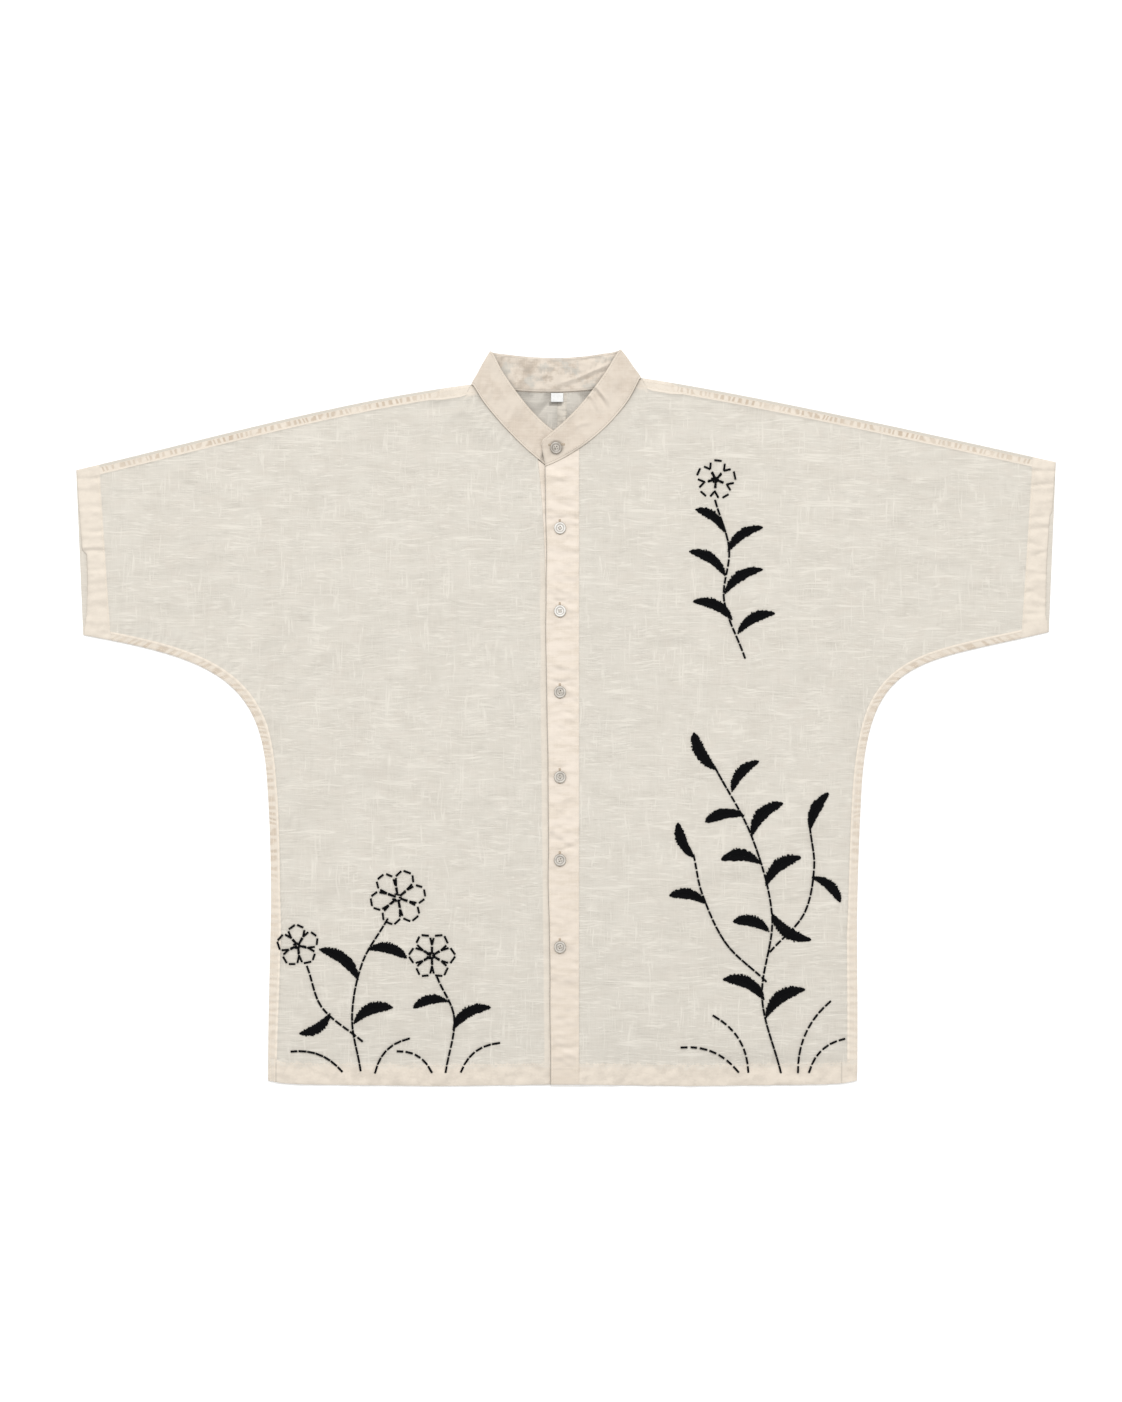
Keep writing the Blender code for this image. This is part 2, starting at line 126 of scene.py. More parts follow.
# Buttons: name, x, y, turn in degrees
BUTTONS = (
    ("button_1", -10.0, 269.5, 12.0),
    ("button_2", -6.0, 189.5, 40.0),
    ("button_3", -6.0, 106.5, 5.0),
    ("button_4", -6.0, 25.5, 28.0),
    ("button_5", -6.0, -59.5, 50.0),
    ("button_6", -6.0, -142.5, 18.0),
    ("button_7", -6.0, -229.5, 35.0),
)

# Hem line below the straight line between its ends: share from the side, drop
HEM_DROP = ((0.0, 0.0), (0.05, 2.4), (0.12, 3.4), (0.6, 3.0), (1.0, 0.0))

# Width of the sewn band along the underarm and the side: distance from the cuff, width
SIDE_WIDTH = {
    "right": ((0, 8.0), (200, 9.0), (300, 10.8), (400, 10.6), (470, 10.0), (520, 9.0), (600, 7.4)),
    "left": ((0, 8.0), (200, 8.5), (300, 10.5), (450, 10.0), (600, 10.0)),
}

# How far a front's cuff stands back from the back's cuff: share from underarm to shoulder, distance
CUFF_INSET = {
    "right": ((0.0, 0.8), (0.04, 1.6), (0.13, 4.6), (0.33, 6.6), (0.49, 7.0), (0.515, 2.6), (0.63, 2.0),
              (0.82, 1.2), (1.0, 0.3)),
    "left": ((0.0, 0.8), (0.05, 1.6), (0.10, 4.2), (0.4, 5.0), (0.68, 4.0), (0.71, 1.8), (0.85, 1.2),
             (1.0, 0.3)),
}

# Pressed creases across the cuff hems: y, slope, half width, height
CUFF_CREASES = {
    "right": ((237, 0.06, 1.6, -1.3), (231, 0.0, 2.2, 0.35), (224, 0.05, 2.6, -0.3),
              (211, -0.05, 2.4, -0.45), (204, 0.1, 3.0, 0.3), (188, -0.08, 2.2, -0.5),
              (181, 0.05, 2.5, 0.35), (169, 0.02, 1.6, 0.55), (165, 0.1, 2.2, -0.75),
              (158, -0.05, 2.6, 0.4), (150, -0.15, 2.2, -0.55), (139, 0.05, 3.0, 0.3),
              (126, -0.1, 2.4, -0.55), (118, 0.05, 2.6, 0.3), (109, 0.05, 2.4, -0.4), (98, 0.0, 2.6, 0.3)),
    "left": ((243.5, 0.1, 1.5, -1.5), (239, 0.05, 2.4, 0.4), (233.5, -0.04, 1.4, -1.4),
             (223, 0.1, 2.0, -0.35), (211, 0.02, 2.2, 0.4), (200, 0.05, 2.4, -0.45), (193, -0.05, 2.5, 0.35),
             (186, 0.1, 2.4, -0.55), (174.5, -0.1, 1.8, -0.6), (167, 0.05, 2.4, 0.5), (156, 0.3, 1.7, -0.45),
             (151, -0.25, 1.8, 0.4), (146, -0.06, 1.4, -0.55), (139, 0.0, 2.8, 0.3), (124, 0.06, 2.6, -0.5),
             (114, 0.05, 2.4, 0.45), (104.5, 0.0, 2.2, -0.4), (95, 0.08, 2.0, -0.4)),
}

# Soft ridges and troughs of the collar's stretches: x, y, end x, end y, half width, height
COLLAR_CREASES = {
    "right": ((-82, 352, -62, 318, 5.0, 0.22), (-70, 322, -34, 276, 7.0, -0.2),
              (-74, 340, -52, 306, 2.4, 0.18), (-44, 306, -18, 274, 3.0, 0.2),
              (-52, 292, -34, 276, 4.0, 0.2), (-30, 290, -12, 272, 2.0, -0.2)),
    "left": ((26, 335, 38, 311, 1.6, -1.0), (30.5, 333, 42, 312, 1.8, 0.85), (22, 327, 31, 309, 1.4, 0.5),
             (19, 324, 27, 310, 1.3, -0.5), (40, 348, 62, 322, 6.0, 0.25), (56, 336, 34, 292, 6.0, -0.22),
             (-10, 304, 14, 318, 1.6, 0.35), (-14, 298, 12, 311, 1.5, -0.35), (-16, 292, 8, 303, 1.7, 0.3),
             (8, 290, 24, 296, 2.6, 0.25), (-2, 262, 20, 276, 3.0, 0.2), (0, 256, 26, 274, 2.2, -0.2)),
    "back": ((0, 336, 46, 354, 1.7, 0.75), (4, 332.5, 46, 349, 1.8, -0.5), (-48, 352, -36, 336, 4.0, -0.55),
             (-62, 360, -52, 352, 3.0, -0.5), (-58, 352, -50, 334, 1.6, 0.4),
             (-66, 358, -58, 340, 1.5, -0.35), (-44, 346, -40, 332, 1.8, 0.5),
             (-26, 350, -14, 334, 3.6, -0.45), (-20, 352, -4, 346, 2.0, 0.35),
             (12, 356, 34, 360, 1.6, -0.35), (24, 352, 20, 336, 1.5, 0.45), (31, 355, 28, 339, 1.3, -0.45),
             (36, 357, 34, 340, 1.4, 0.5), (41, 359, 40, 343, 1.2, -0.45), (-30, 342, -10, 341, 2.2, 0.3)),
}

# Soft ridges and troughs of the fronts: x, y, end x, end y, half width, height
FRONT_CREASES = (
    (-112, 322, -62, 276, 7.0, 0.9),
    (-128, 306, -70, 252, 11.0, -0.7),
    (-148, 310, -104, 306, 4.5, -1.7),
    (-118, 302, -92, 308, 4.0, 1.3),
    (-104, 317, -92, 309, 2.2, -1.3),
    (106, 320, 122, 317, 2.2, -1.5),
    (90, 311, 124, 310, 3.0, 1.0),
    (92, 322, 46, 282, 7.0, 0.8),
    (118, 318, 66, 262, 12.0, -0.7),
    (-396, 250, -372, 238, 5.0, 0.6),
    (-352, 224, -318, 214, 6.0, 0.6),
    (-420, 150, -330, 172, 9.0, 0.6),
    (-430, 110, -300, 98, 10.0, -0.6),
    (-330, 60, -230, 140, 12.0, 0.8),
    (-306, 20, -200, 86, 10.0, 0.7),
    (-296, -20, -230, 40, 8.0, -0.6),
    (330, 62, 236, 150, 12.0, 0.8),
    (304, 12, 210, 96, 10.0, 0.7),
    (298, -30, 240, 40, 8.0, -0.6),
    (420, 150, 330, 176, 9.0, 0.6),
    (436, 122, 320, 104, 10.0, -0.6),
    (380, 232, 320, 250, 7.0, 0.6),
    (-250, -60, -120, -40, 12.0, 0.5),
    (-262, -180, -150, -196, 12.0, -0.5),
    (90, -30, 210, -58, 12.0, 0.5),
    (110, -170, 250, -150, 13.0, -0.5),
    (60, 180, 150, 172, 10.0, 0.5),
    (-150, 196, -60, 204, 10.0, 0.5),
    (-120, 60, -40, 52, 9.0, -0.5),
    (30, 92, 120, 84, 9.0, 0.5),
)

# The same for the backs
BACK_CREASES = (
    (-330, 70, -210, 170, 12.0, 0.5), (-300, 10, -190, 96, 10.0, 0.45), (330, 70, 214, 166, 12.0, 0.5),
    (300, 6, 196, 92, 10.0, 0.45), (-420, 160, -330, 180, 9.0, 0.4), (426, 158, 330, 184, 9.0, 0.4),
    (-120, 300, -60, 230, 11.0, 0.45), (118, 304, 54, 236, 11.0, 0.45), (-60, 292, 56, 296, 9.0, 0.4),
    (-240, -40, -90, -60, 12.0, 0.4), (80, -90, 232, -70, 12.0, 0.4), (-200, -200, -60, -190, 13.0, 0.4),
    (60, -240, 210, -262, 12.0, 0.4), (-250, 220, -150, 240, 10.0, 0.4), (160, 236, 262, 214, 10.0, 0.4),
)

# Where the small creases lie on each side: range of x, range of y
SPREAD = {"right": ((-480, -20), (-350, 330)), "left": ((15, 480), (-350, 330))}


def smooth(value):
    """From 0 to 1 with a soft start and end."""
    value = np.clip(value, 0.0, 1.0)
    return value * value * (3.0 - 2.0 * value)


def mix(a, b, share):
    return a + (b - a) * share


def bell(distance, width):
    """1 at no distance, falling off smoothly within about twice the width."""
    return np.exp(-(distance / width) ** 2)


def bezier(name, samples=160):
    """Points along a curve of the table, a row each."""
    p = np.array(CURVES[name], float)
    t = np.linspace(0.0, 1.0, samples + 1)[:, None]
    s = 1.0 - t
    return p[0] * s ** 3 + p[1] * 3 * s * s * t + p[2] * 3 * s * t * t + p[3] * t ** 3


def run_of(line):
    """Distance of every point of a line from its start, along it."""
    return np.concatenate([[0.0], np.cumsum(np.hypot(*np.diff(line, axis=0).T))])


def at_runs(line, runs):
    """Points of a line at the given distances from its start."""
    along = run_of(line)
    return np.stack([np.interp(runs, along, line[:, k]) for k in range(line.shape[1])], axis=1)


def tangents(line):
    """Unit vectors along a line."""
    step = np.gradient(line, axis=0)
    return step / np.maximum(1e-9, np.linalg.norm(step, axis=1))[:, None]


def shifted(line, amount):
    """A line moved to its left by an amount."""
    step = tangents(line)
    return line + np.stack([-step[:, 1], step[:, 0]], axis=1) * amount


def cut_at_x(line, x):
    """A line up to the first point where it crosses an x."""
    for i in range(len(line) - 1):
        a, b = line[i], line[i + 1]
        if (a[0] - x) * (b[0] - x) <= 0 and a[0] != b[0]:
            return np.vstack([line[:i + 1], a + (b - a) * (x - a[0]) / (b[0] - a[0])])
    return line


def soft_noise(x, y, cell, seed):
    """Smooth noise from -1 to 1 whose hills are about one cell across."""
    size = 97
    grid = np.random.default_rng(seed).uniform(-1.0, 1.0, (size, size))
    u = x / cell + 300.0
    v = y / cell + 300.0
    iu = np.floor(u).astype(int)
    iv = np.floor(v).astype(int)
    fu = smooth(u - iu)
    fv = smooth(v - iv)
    left, right = iu % size, (iu + 1) % size
    low = mix(grid[left, iv % size], grid[right, iv % size], fu)
    high = mix(grid[left, (iv + 1) % size], grid[right, (iv + 1) % size], fu)
    return mix(low, high, fv)


def crease_field(x, y, table):
    """Sum of soft ridges, each fading at its ends and wandering a little."""
    total = np.zeros_like(x)
    for k, (x0, y0, x1, y1, width, height) in enumerate(table):
        run = np.array([x1 - x0, y1 - y0], float)
        length = np.hypot(*run)
        run /= length
        along = (x - x0) * run[0] + (y - y0) * run[1]
        wander = 0.35 * width * np.sin(along / length * 5.0 + k)
        away = -(x - x0) * run[1] + (y - y0) * run[0] + wander
        fade = smooth(1.0 - np.abs(along / length - 0.5) * 1.25)
        total += height * bell(away, width) * fade
    return total


def away_from(x, y, line):
    """Distance of every point of a grid from a line of points."""
    return np.hypot(x[..., None] - line[:, 0], y[..., None] - line[:, 1]).min(axis=-1)


def facing_light(x, y, relief, gain):
    """From -1 to 1: how a relief on a grid turns from or towards the light at the collar's end."""
    xu, xv = np.gradient(x)
    yu, yv = np.gradient(y)
    zu, zv = np.gradient(relief)
    area = xu * yv - xv * yu
    area = np.where(np.abs(area) < 1e-5, 1e9, area)
    fall_y = -(zv * xu - zu * xv) / area
    fall_x = -(zu * yv - zv * yu) / area
    return np.clip((fall_y - 0.35 * fall_x) * gain, -1.0, 1.0)


# Mesh helpers

def new_object(name, data, material=None):
    """Puts mesh, curve, camera or light data into the scene."""
    made = bpy.data.objects.new(name, data)
    bpy.context.scene.collection.objects.link(made)
    if material is not None:
        data.materials.append(material)
    return made


def shell(name, top, bottom, material, fields=None):
    """A closed thin shell between two grids of points (rows, columns, 3) in millimetres."""
    rows, columns = top.shape[:2]
    points = np.concatenate([top.reshape(-1, 3), bottom.reshape(-1, 3)]) * MM
    count = rows * columns
    index = np.arange(count).reshape(rows, columns)
    a, b = index[:-1, :-1].ravel(), index[:-1, 1:].ravel()
    c, d = index[1:, 1:].ravel(), index[1:, :-1].ravel()
    upper = np.stack([a, b, c, d], axis=1)
    lower = np.stack([a, d, c, b], axis=1) + count
    rim = []
    for edge, turn in ((index[:, 0], 1), (index[:, -1], -1), (index[0, :], -1), (index[-1, :], 1)):
        quads = np.stack([edge[:-1] + count, edge[:-1], edge[1:], edge[1:] + count], axis=1)
        rim.append(quads[:, ::turn])
    faces = np.concatenate([upper, lower, *rim])
    data = bpy.data.meshes.new(name)
    data.vertices.add(len(points))
    data.vertices.foreach_set("co", points.astype(np.float32).ravel())
    data.loops.add(faces.size)
    data.loops.foreach_set("vertex_index", faces.astype(np.int32).ravel())
    data.polygons.add(len(faces))
    data.polygons.foreach_set("loop_start", (np.arange(len(faces)) * 4).astype(np.int32))
    data.polygons.foreach_set("use_smooth", np.arange(len(faces)) < len(upper) + len(lower))
    data.update(calc_edges=True)
    data.validate()
    for key, values in (fields or {}).items():
        layer = data.attributes.new(key, "FLOAT", "POINT")
        hidden = values.ravel() * (0.0 if key in ("crease_light", "painted_shade") else 1.0)
        layer.data.foreach_set("value", np.concatenate([values.ravel(), hidden]).astype(np.float32))
    work = bmesh.new()
    work.from_mesh(data)
    bmesh.ops.recalc_face_normals(work, faces=work.faces)
    work.to_mesh(data)
    work.free()
    return new_object(name, data, material)


def wear(piece, slot, *nodes):
    """Seats a finished piece on the shirt's one body and hides the solids it stands for."""
    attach(piece, "root")
    if nodes:
        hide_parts(*nodes)
    return piece


# Shader helpers

class Graph:
    """Short ways to add and link nodes in one tree."""

    def __init__(self, tree):
        self.tree = tree

    def feed(self, socket, value):
        if isinstance(value, bpy.types.NodeSocket):
            self.tree.links.new(value, socket)
        else:
            socket.default_value = value

    def add(self, kind, values=None, **settings):
        node = self.tree.nodes.new(kind)
        for key, value in settings.items():
            setattr(node, key, value)
        for key, value in (values or {}).items():
            self.feed(node.inputs[key], value)
        return node

    def math(self, operation, a, b=0.0):
        return self.add("ShaderNodeMath", {0: a, 1: b}, operation=operation).outputs[0]

    def times(self, a, b):
        return self.math("MULTIPLY", a, b)

    def plus(self, a, b):
        return self.math("ADD", a, b)

    def minus(self, a, b):
        return self.math("SUBTRACT", a, b)

    def mix_colour(self, share, a, b):
        return self.add("ShaderNodeMix", {0: share, 6: a, 7: b}, data_type="RGBA").outputs[2]

    def tinted(self, colour, tint, share, strength):
        """The colour, turned towards a tint by a weakened share."""
        return self.mix_colour(self.times(share, strength), colour, tint)

    def attribute(self, name):
        return self.add("ShaderNodeAttribute", attribute_name=name).outputs["Fac"]

    def position(self):
        return self.add("ShaderNodeTexCoord").outputs["Object"]

    def split(self, vector):
        return self.add("ShaderNodeSeparateXYZ", {0: vector}).outputs

    def vector(self, parts):
        return self.add("ShaderNodeCombineXYZ", parts).outputs[0]

    def vector_math(self, operation, values):
        return self.add("ShaderNodeVectorMath", values, operation=operation).outputs[0]

    def noise(self, vector, scale, detail=2.0, rough=0.5):
        return self.add("ShaderNodeTexNoise", {"Vector": vector, "Scale": scale, "Detail": detail,
                                               "Roughness": rough}).outputs["Fac"]

    def long_noise(self, vector, scale, detail=2.0, rough=0.5):
        """Noise with its own scale along each axis."""
        stretched = self.add("ShaderNodeMapping", {"Vector": vector, "Scale": scale}).outputs[0]
        return self.noise(stretched, 1.0, detail, rough)

    def ramp(self, value, low, high):
        return self.add("ShaderNodeMapRange", {"Value": value, "From Min": low, "From Max": high},
                        interpolation_type="SMOOTHSTEP").outputs[0]

    def fall(self, value, low, high):
        """From 1 down to 0 as the value goes from low to high."""
        return self.minus(1.0, self.ramp(value, low, high))

    def patches(self, vector, scale, detail, rough, low, high):
        """Stretched noise, sharpened to patches with soft edges."""
        return self.ramp(self.long_noise(vector, scale, detail, rough), low, high)


def new_group(name, inputs, outputs):
    """A shader node group with float inputs, apart from a vector called Position."""
    group = bpy.data.node_groups.new(name, "ShaderNodeTree")
    for label, value in inputs:
        kind = "NodeSocketVector" if value is None else "NodeSocketFloat"
        socket = group.interface.new_socket(label, in_out="INPUT", socket_type=kind)
        if value is not None:
            socket.default_value = value
    for label in outputs:
        group.interface.new_socket(label, in_out="OUTPUT", socket_type="NodeSocketFloat")
    graph = Graph(group)
    return graph, graph.add("NodeGroupInput").outputs, graph.add("NodeGroupOutput").inputs


def make_weave_group():
    """Plain weave: fine threads both ways, as a height and a light share."""
    graph, inside, out = new_group("plain weave", (("Position", None), ("Threads", 7600.0)),
                                   ("Height", "Light"))
    split = graph.split(inside["Position"])
    waves = [graph.math("SINE", graph.times(split[k], inside["Threads"])) for k in (0, 1)]
    across = graph.long_noise(inside["Position"], (55.0, 1300.0, 55.0))
    down = graph.long_noise(inside["Position"], (1300.0, 60.0, 60.0))
    slub = graph.plus(graph.times(across, 1.25), graph.times(down, 0.75))
    graph.feed(out["Height"], graph.plus(graph.times(graph.times(*waves), 0.3), slub))
    graph.feed(out["Light"], graph.times(slub, 0.5))
    return graph.tree


def make_crinkle_group():
    """Fine broken crinkles of washed voile, most of them level, some upright, with painted highlights along
    their ridges and painted shade in their troughs.
    """
    graph, inside, out = new_group("washed crinkle", (("Position", None), ("Upright Share", 0.9)),
                                   ("Height", "Light", "Painted Shade"))
    position = inside["Position"]
    clouds = graph.add("ShaderNodeTexNoise", {"Vector": position, "Scale": 26.0, "Detail": 1.0})
    centred = graph.vector_math("SUBTRACT", {0: clouds.outputs["Color"], 1: (0.5, 0.5, 0.5)})
    bent = graph.vector_math("SCALE", {0: centred, "Scale": 0.007})
    moved = graph.vector_math("ADD", {0: position, 1: bent})

    def lines(scale, patch_scale, low, high, sharp):
        """Thin lines where stretched noise passes its middle value, kept in patches."""
        middle = graph.math("ABSOLUTE", graph.minus(graph.long_noise(moved, scale, 1.0), 0.5))
        thin = graph.ramp(graph.minus(1.0, middle), 1.0 - sharp, 1.0)
        return graph.times(thin, graph.patches(position, patch_scale, 2.0, 0.5, low, high))

    level = lines((12.0, 270.0, 12.0), (26.0, 100.0, 26.0), 0.40, 0.58, 0.044)
    fine = lines((32.0, 460.0, 32.0), (50.0, 60.0, 50.0), 0.40, 0.58, 0.06)
    upright = lines((290.0, 14.0, 14.0), (90.0, 28.0, 28.0), 0.45, 0.62, 0.044)
    shade = lines((24.0, 310.0, 24.0), (44.0, 70.0, 44.0), 0.44, 0.62, 0.05)
    light = graph.math("MAXIMUM", level, graph.times(upright, inside["Upright Share"]))
    light = graph.math("MAXIMUM", light, graph.times(fine, 0.85))
    level_swell = graph.patches(moved, (30.0, 170.0, 30.0), 3.0, 0.6, 0.5, 0.72)
    upright_swell = graph.patches(moved, (190.0, 34.0, 34.0), 2.0, 0.5, 0.52, 0.75)
    dark = graph.plus(graph.plus(level_swell, graph.times(upright_swell, 0.7)), graph.times(shade, 1.5))
    graph.feed(out["Height"], graph.minus(light, graph.times(dark, 0.5)))
    graph.feed(out["Light"], light)
    graph.feed(out["Painted Shade"], dark)
    return graph.tree


def make_pucker_group():
    """A sewn band: an outer strip, puckers between its stitch lines with painted shade in their troughs, and
    a bright inner fold.

    Across runs from 0 at the garment's edge to 1 at the band's inner fold.
    """
    graph, inside, out = new_group("sewn band", (("Run", 0.0), ("Across", 0.0), ("Pitch", 0.0050),
                                                 ("Slant", 0.0035)), ("Height", "Painted Shade", "Strip", "Bright"))
    run, across = inside["Run"], inside["Across"]
    place = graph.vector({0: run, 1: graph.times(across, 0.003)})
    drift = graph.times(graph.noise(place, 60.0), 0.02)
    slanted = graph.plus(graph.plus(run, drift), graph.times(across, inside["Slant"]))
    turns = graph.times(graph.math("DIVIDE", slanted, inside["Pitch"]), 2.0 * math.pi)
    wave = graph.times(graph.plus(graph.math("SINE", turns), 1.0), 0.5)
    strength = graph.add("ShaderNodeMapRange", {0: graph.noise(place, 46.0, 3.0), 1: 0.32, 2: 0.56,
                                                3: 0.35, 4: 1.0}).outputs[0]
    window = graph.times(graph.ramp(across, 0.26, 0.38), graph.fall(across, 0.74, 0.88))
    bright = graph.times(graph.ramp(across, 0.84, 0.92), graph.fall(across, 1.0, 1.06))
    pucker = graph.times(graph.times(wave, strength), window)
    graph.feed(out["Height"], graph.minus(graph.times(bright, 0.6), pucker))
    graph.feed(out["Painted Shade"], graph.times(graph.ramp(wave, 0.25, 0.85), graph.times(strength, window)))
    graph.feed(out["Strip"], graph.fall(across, 0.22, 0.34))
    graph.feed(out["Bright"], bright)
    return graph.tree


def make_line_group():
    """A soft line at a set distance from an edge."""
    graph, inside, out = new_group("line along an edge", (("Distance", 0.0), ("Place", 0.002),
                                                          ("Half Width", 0.0006)), ("Share",))
    away = graph.math("ABSOLUTE", graph.minus(inside["Distance"], inside["Place"]))
    graph.feed(out["Share"], graph.fall(graph.math("DIVIDE", away, inside["Half Width"]), 0.3, 1.0))
    return graph.tree


GROUPS = {"weave": make_weave_group(), "crinkle": make_crinkle_group(), "pucker": make_pucker_group(),
          "line": make_line_group()}


def linear(red, green, blue):
    """A surface colour that reads as the given screen values, 0 to 255, under the studio light."""
    values = [v / 255.0 for v in (red, green, blue)]
    lit = [v / 12.92 if v < 0.04045 else ((v + 0.055) / 1.055) ** 2.4 for v in values]
    return tuple(v / LIGHT_LEVEL for v in lit) + (1.0,)


def scaled(tone, factor):
    """A tone made darker or lighter."""
    return tuple(min(1.0, c * factor) for c in tone[:3]) + (1.0,)


def base_material(name, roughness=0.85):
    """A new material with its graph and its shader."""
    material = bpy.data.materials.new(name)
    material.use_nodes = True
    tree = material.node_tree
    shader = tree.nodes["Principled BSDF"]
    shader.inputs["Roughness"].default_value = roughness
    return material, Graph(tree), shader


def place_group(graph, name, values):
    """Adds a group to a graph and returns the group's outputs."""
    node = graph.tree.nodes.new("ShaderNodeGroup")
    node.node_tree = GROUPS[name]
    for key, value in values.items():
        graph.feed(node.inputs[key], value)
    return node.outputs


def line_share(graph, distance, place, half_width):
    """1 on a line at a set distance from an edge, 0 beside it."""
    return place_group(graph, "line", {"Distance": distance, "Place": place, "Half Width": half_width})[0]


def creased(graph, colour, tone, dark, light):
    """Darkens the sides of creases that face away from the light and brightens the others."""
    crease_light = graph.attribute("crease_light")
    shadow = graph.math("MAXIMUM", graph.times(crease_light, -1.0), 0.0)
    colour = graph.tinted(colour, scaled(tone, 0.66), shadow, dark)
    return graph.tinted(colour, scaled(tone, 1.16), graph.math("MAXIMUM", crease_light, 0.0), light)


def finish_surface(graph, shader, colour, height, strength, distance):
    """Links a surface's colour and its bumps to its shader."""
    graph.feed(shader.inputs["Base Color"], colour)
    bump = graph.add("ShaderNodeBump", {"Height": height, "Strength": strength, "Distance": distance})
    graph.feed(shader.inputs["Normal"], bump.outputs[0])


def seam_and_tab_shade(graph, colour, position, band_tone):
    """The doubled cloth of the centre back seam and the shade that the size tab throws below it."""
    x, y = graph.split(position)[:2]
    from_seam = graph.minus(x, BACK_SEAM_X * MM)
    on_seam = line_share(graph, graph.math("ABSOLUTE", from_seam), 0.0, SEAM_ALLOWANCE)
    puckers = graph.patches(position, (60.0, 330.0, 60.0), 2.0, 0.5, 0.46, 0.6)
    allowance = graph.tinted(band_tone, scaled(band_tone, 0.74), puckers, 0.8)
    colour = graph.tinted(colour, allowance, graph.ramp(on_seam, 0.0, 0.25), 0.85)
    beside_tab = graph.math("ABSOLUTE", graph.plus(from_seam, 0.0066))
    below_tab = graph.math("ABSOLUTE", graph.minus(y, 0.3140))
    shade = graph.times(graph.fall(beside_tab, 0.0054, 0.0074), graph.fall(below_tab, 0.0012, 0.0032))
    return graph.tinted(colour, scaled(band_tone, 0.32), shade, 0.72)


def voile_material(name, tones, with_seam=False):
    """Sheer washed cotton: greyish single cloth, warmer where a fold doubles it."""
    low_tone, high_tone, band_tone, warm_tone, pucker_tone = (linear(*tone) for tone in tones)
    material, graph, shader = base_material(name)
    position = graph.position()
    weave = place_group(graph, "weave", {"Position": position})
    crinkle = place_group(graph, "crinkle", {"Position": position})
    sewn = place_group(graph, "pucker", {"Run": graph.attribute("run"), "Across": graph.attribute("across")})

    # Single cloth
    mottle = graph.patches(position, (26.0, 44.0, 26.0), 4.0, 0.65, 0.34, 0.66)
    blush = graph.patches(position, (55.0, 90.0, 55.0), 3.0, 0.65, 0.48, 0.66)
    # Painted shade: the single cloth darker towards the hem, as the light falls off down the shirt
    low = graph.fall(graph.split(position)[1], -0.40, -0.10)
    tone = graph.mix_colour(graph.plus(graph.times(mottle, 0.72), 0.1), low_tone, high_tone)
    tone = graph.tinted(tone, warm_tone, blush, 0.28)
    tone = graph.tinted(tone, scaled(low_tone, 0.93), low, 0.4)
    # Painted shade in the crinkles' troughs
    tone = graph.tinted(tone, scaled(low_tone, 0.88), crinkle["Painted Shade"], 0.34)
    tone = graph.tinted(tone, scaled(high_tone, 1.05), graph.ramp(weave["Light"], 0.38, 0.62), 0.5)
    # Painted highlights along the crinkles' ridges
    tone = graph.tinted(tone, scaled(high_tone, 1.14), crinkle["Light"], 0.86)
    tone = creased(graph, tone, low_tone, 0.30, 0.30)

    # Doubled cloth of the hem, the cuffs and the sewn bands
    fuzz = graph.times(graph.minus(graph.noise(position, 260.0, 4.0, 0.7), 0.5), 0.016)
    ragged = graph.plus(graph.attribute("hem_run"), fuzz)
    hemmed = graph.fall(ragged, HEM_BAND * MM - 0.0016, HEM_BAND * MM - 0.0004)
    hem_top = line_share(graph, ragged, HEM_BAND * MM - 0.0026, 0.0028)
    band = graph.math("MAXIMUM", graph.attribute("band"), hemmed)
    folds = graph.patches(position, (95.0, 130.0, 95.0), 4.0, 0.65, 0.38, 0.64)
    wide = graph.patches(position, (22.0, 60.0, 22.0), 2.0, 0.5, 0.40, 0.62)
    blotch = graph.patches(position, (85.0, 110.0, 85.0), 5.0, 0.72, 0.46, 0.62)
    side_seam = line_share(graph, graph.attribute("side_run"), SIDE_SEAM_PLACE, 0.0009)
    banded = graph.tinted(band_tone, scaled(band_tone, 0.89), folds, 0.75)
    banded = graph.tinted(banded, scaled(band_tone, 1.04), wide, 0.45)
    banded = graph.tinted(banded, scaled(band_tone, 0.98), graph.attribute("plain"), 0.8)
    banded = graph.tinted(banded, scaled(band_tone, 0.84), hemmed, graph.times(blotch, 0.7))
    banded = graph.tinted(banded, scaled(high_tone, 1.06), hem_top, 0.55)
    banded = graph.tinted(banded, pucker_tone, hemmed, 0.09)
    banded = graph.tinted(banded, scaled(band_tone, 0.66), graph.times(side_seam, hemmed), 0.7)
    # Painted shade in the puckers' troughs, as strong as the pucker value says
    banded = graph.tinted(banded, pucker_tone, sewn["Painted Shade"], graph.attribute("pucker"))
    banded = graph.tinted(banded, scaled(low_tone, 0.97), sewn["Strip"], 0.9)
    banded = graph.tinted(banded, scaled(band_tone, 1.1), sewn["Bright"], 0.85)
    banded = creased(graph, banded, band_tone, 0.42, 0.36)

    colour = graph.mix_colour(band, tone, banded)
    if with_seam:
        colour = seam_and_tab_shade(graph, colour, position, band_tone)
    # Painted shade in corners, under edges and inside the neck
    colour = graph.mix_colour(graph.attribute("painted_shade"), colour, scaled(band_tone, 0.3))
    loose = graph.minus(1.0, graph.times(band, 0.7))
    height = graph.plus(graph.times(weave["Height"], 0.07),
                        graph.times(graph.times(crinkle["Height"], loose), 0.4))
    height = graph.plus(height, graph.times(graph.times(sewn["Height"], band), 0.9))
    height = graph.plus(height, graph.times(graph.times(folds, band), 0.5))
    finish_surface(graph, shader, colour, height, 0.6, 0.0006)
    shader.inputs["Sheen Weight"].default_value = 0.1
    shader.inputs["Sheen Roughness"].default_value = 0.5
    return material


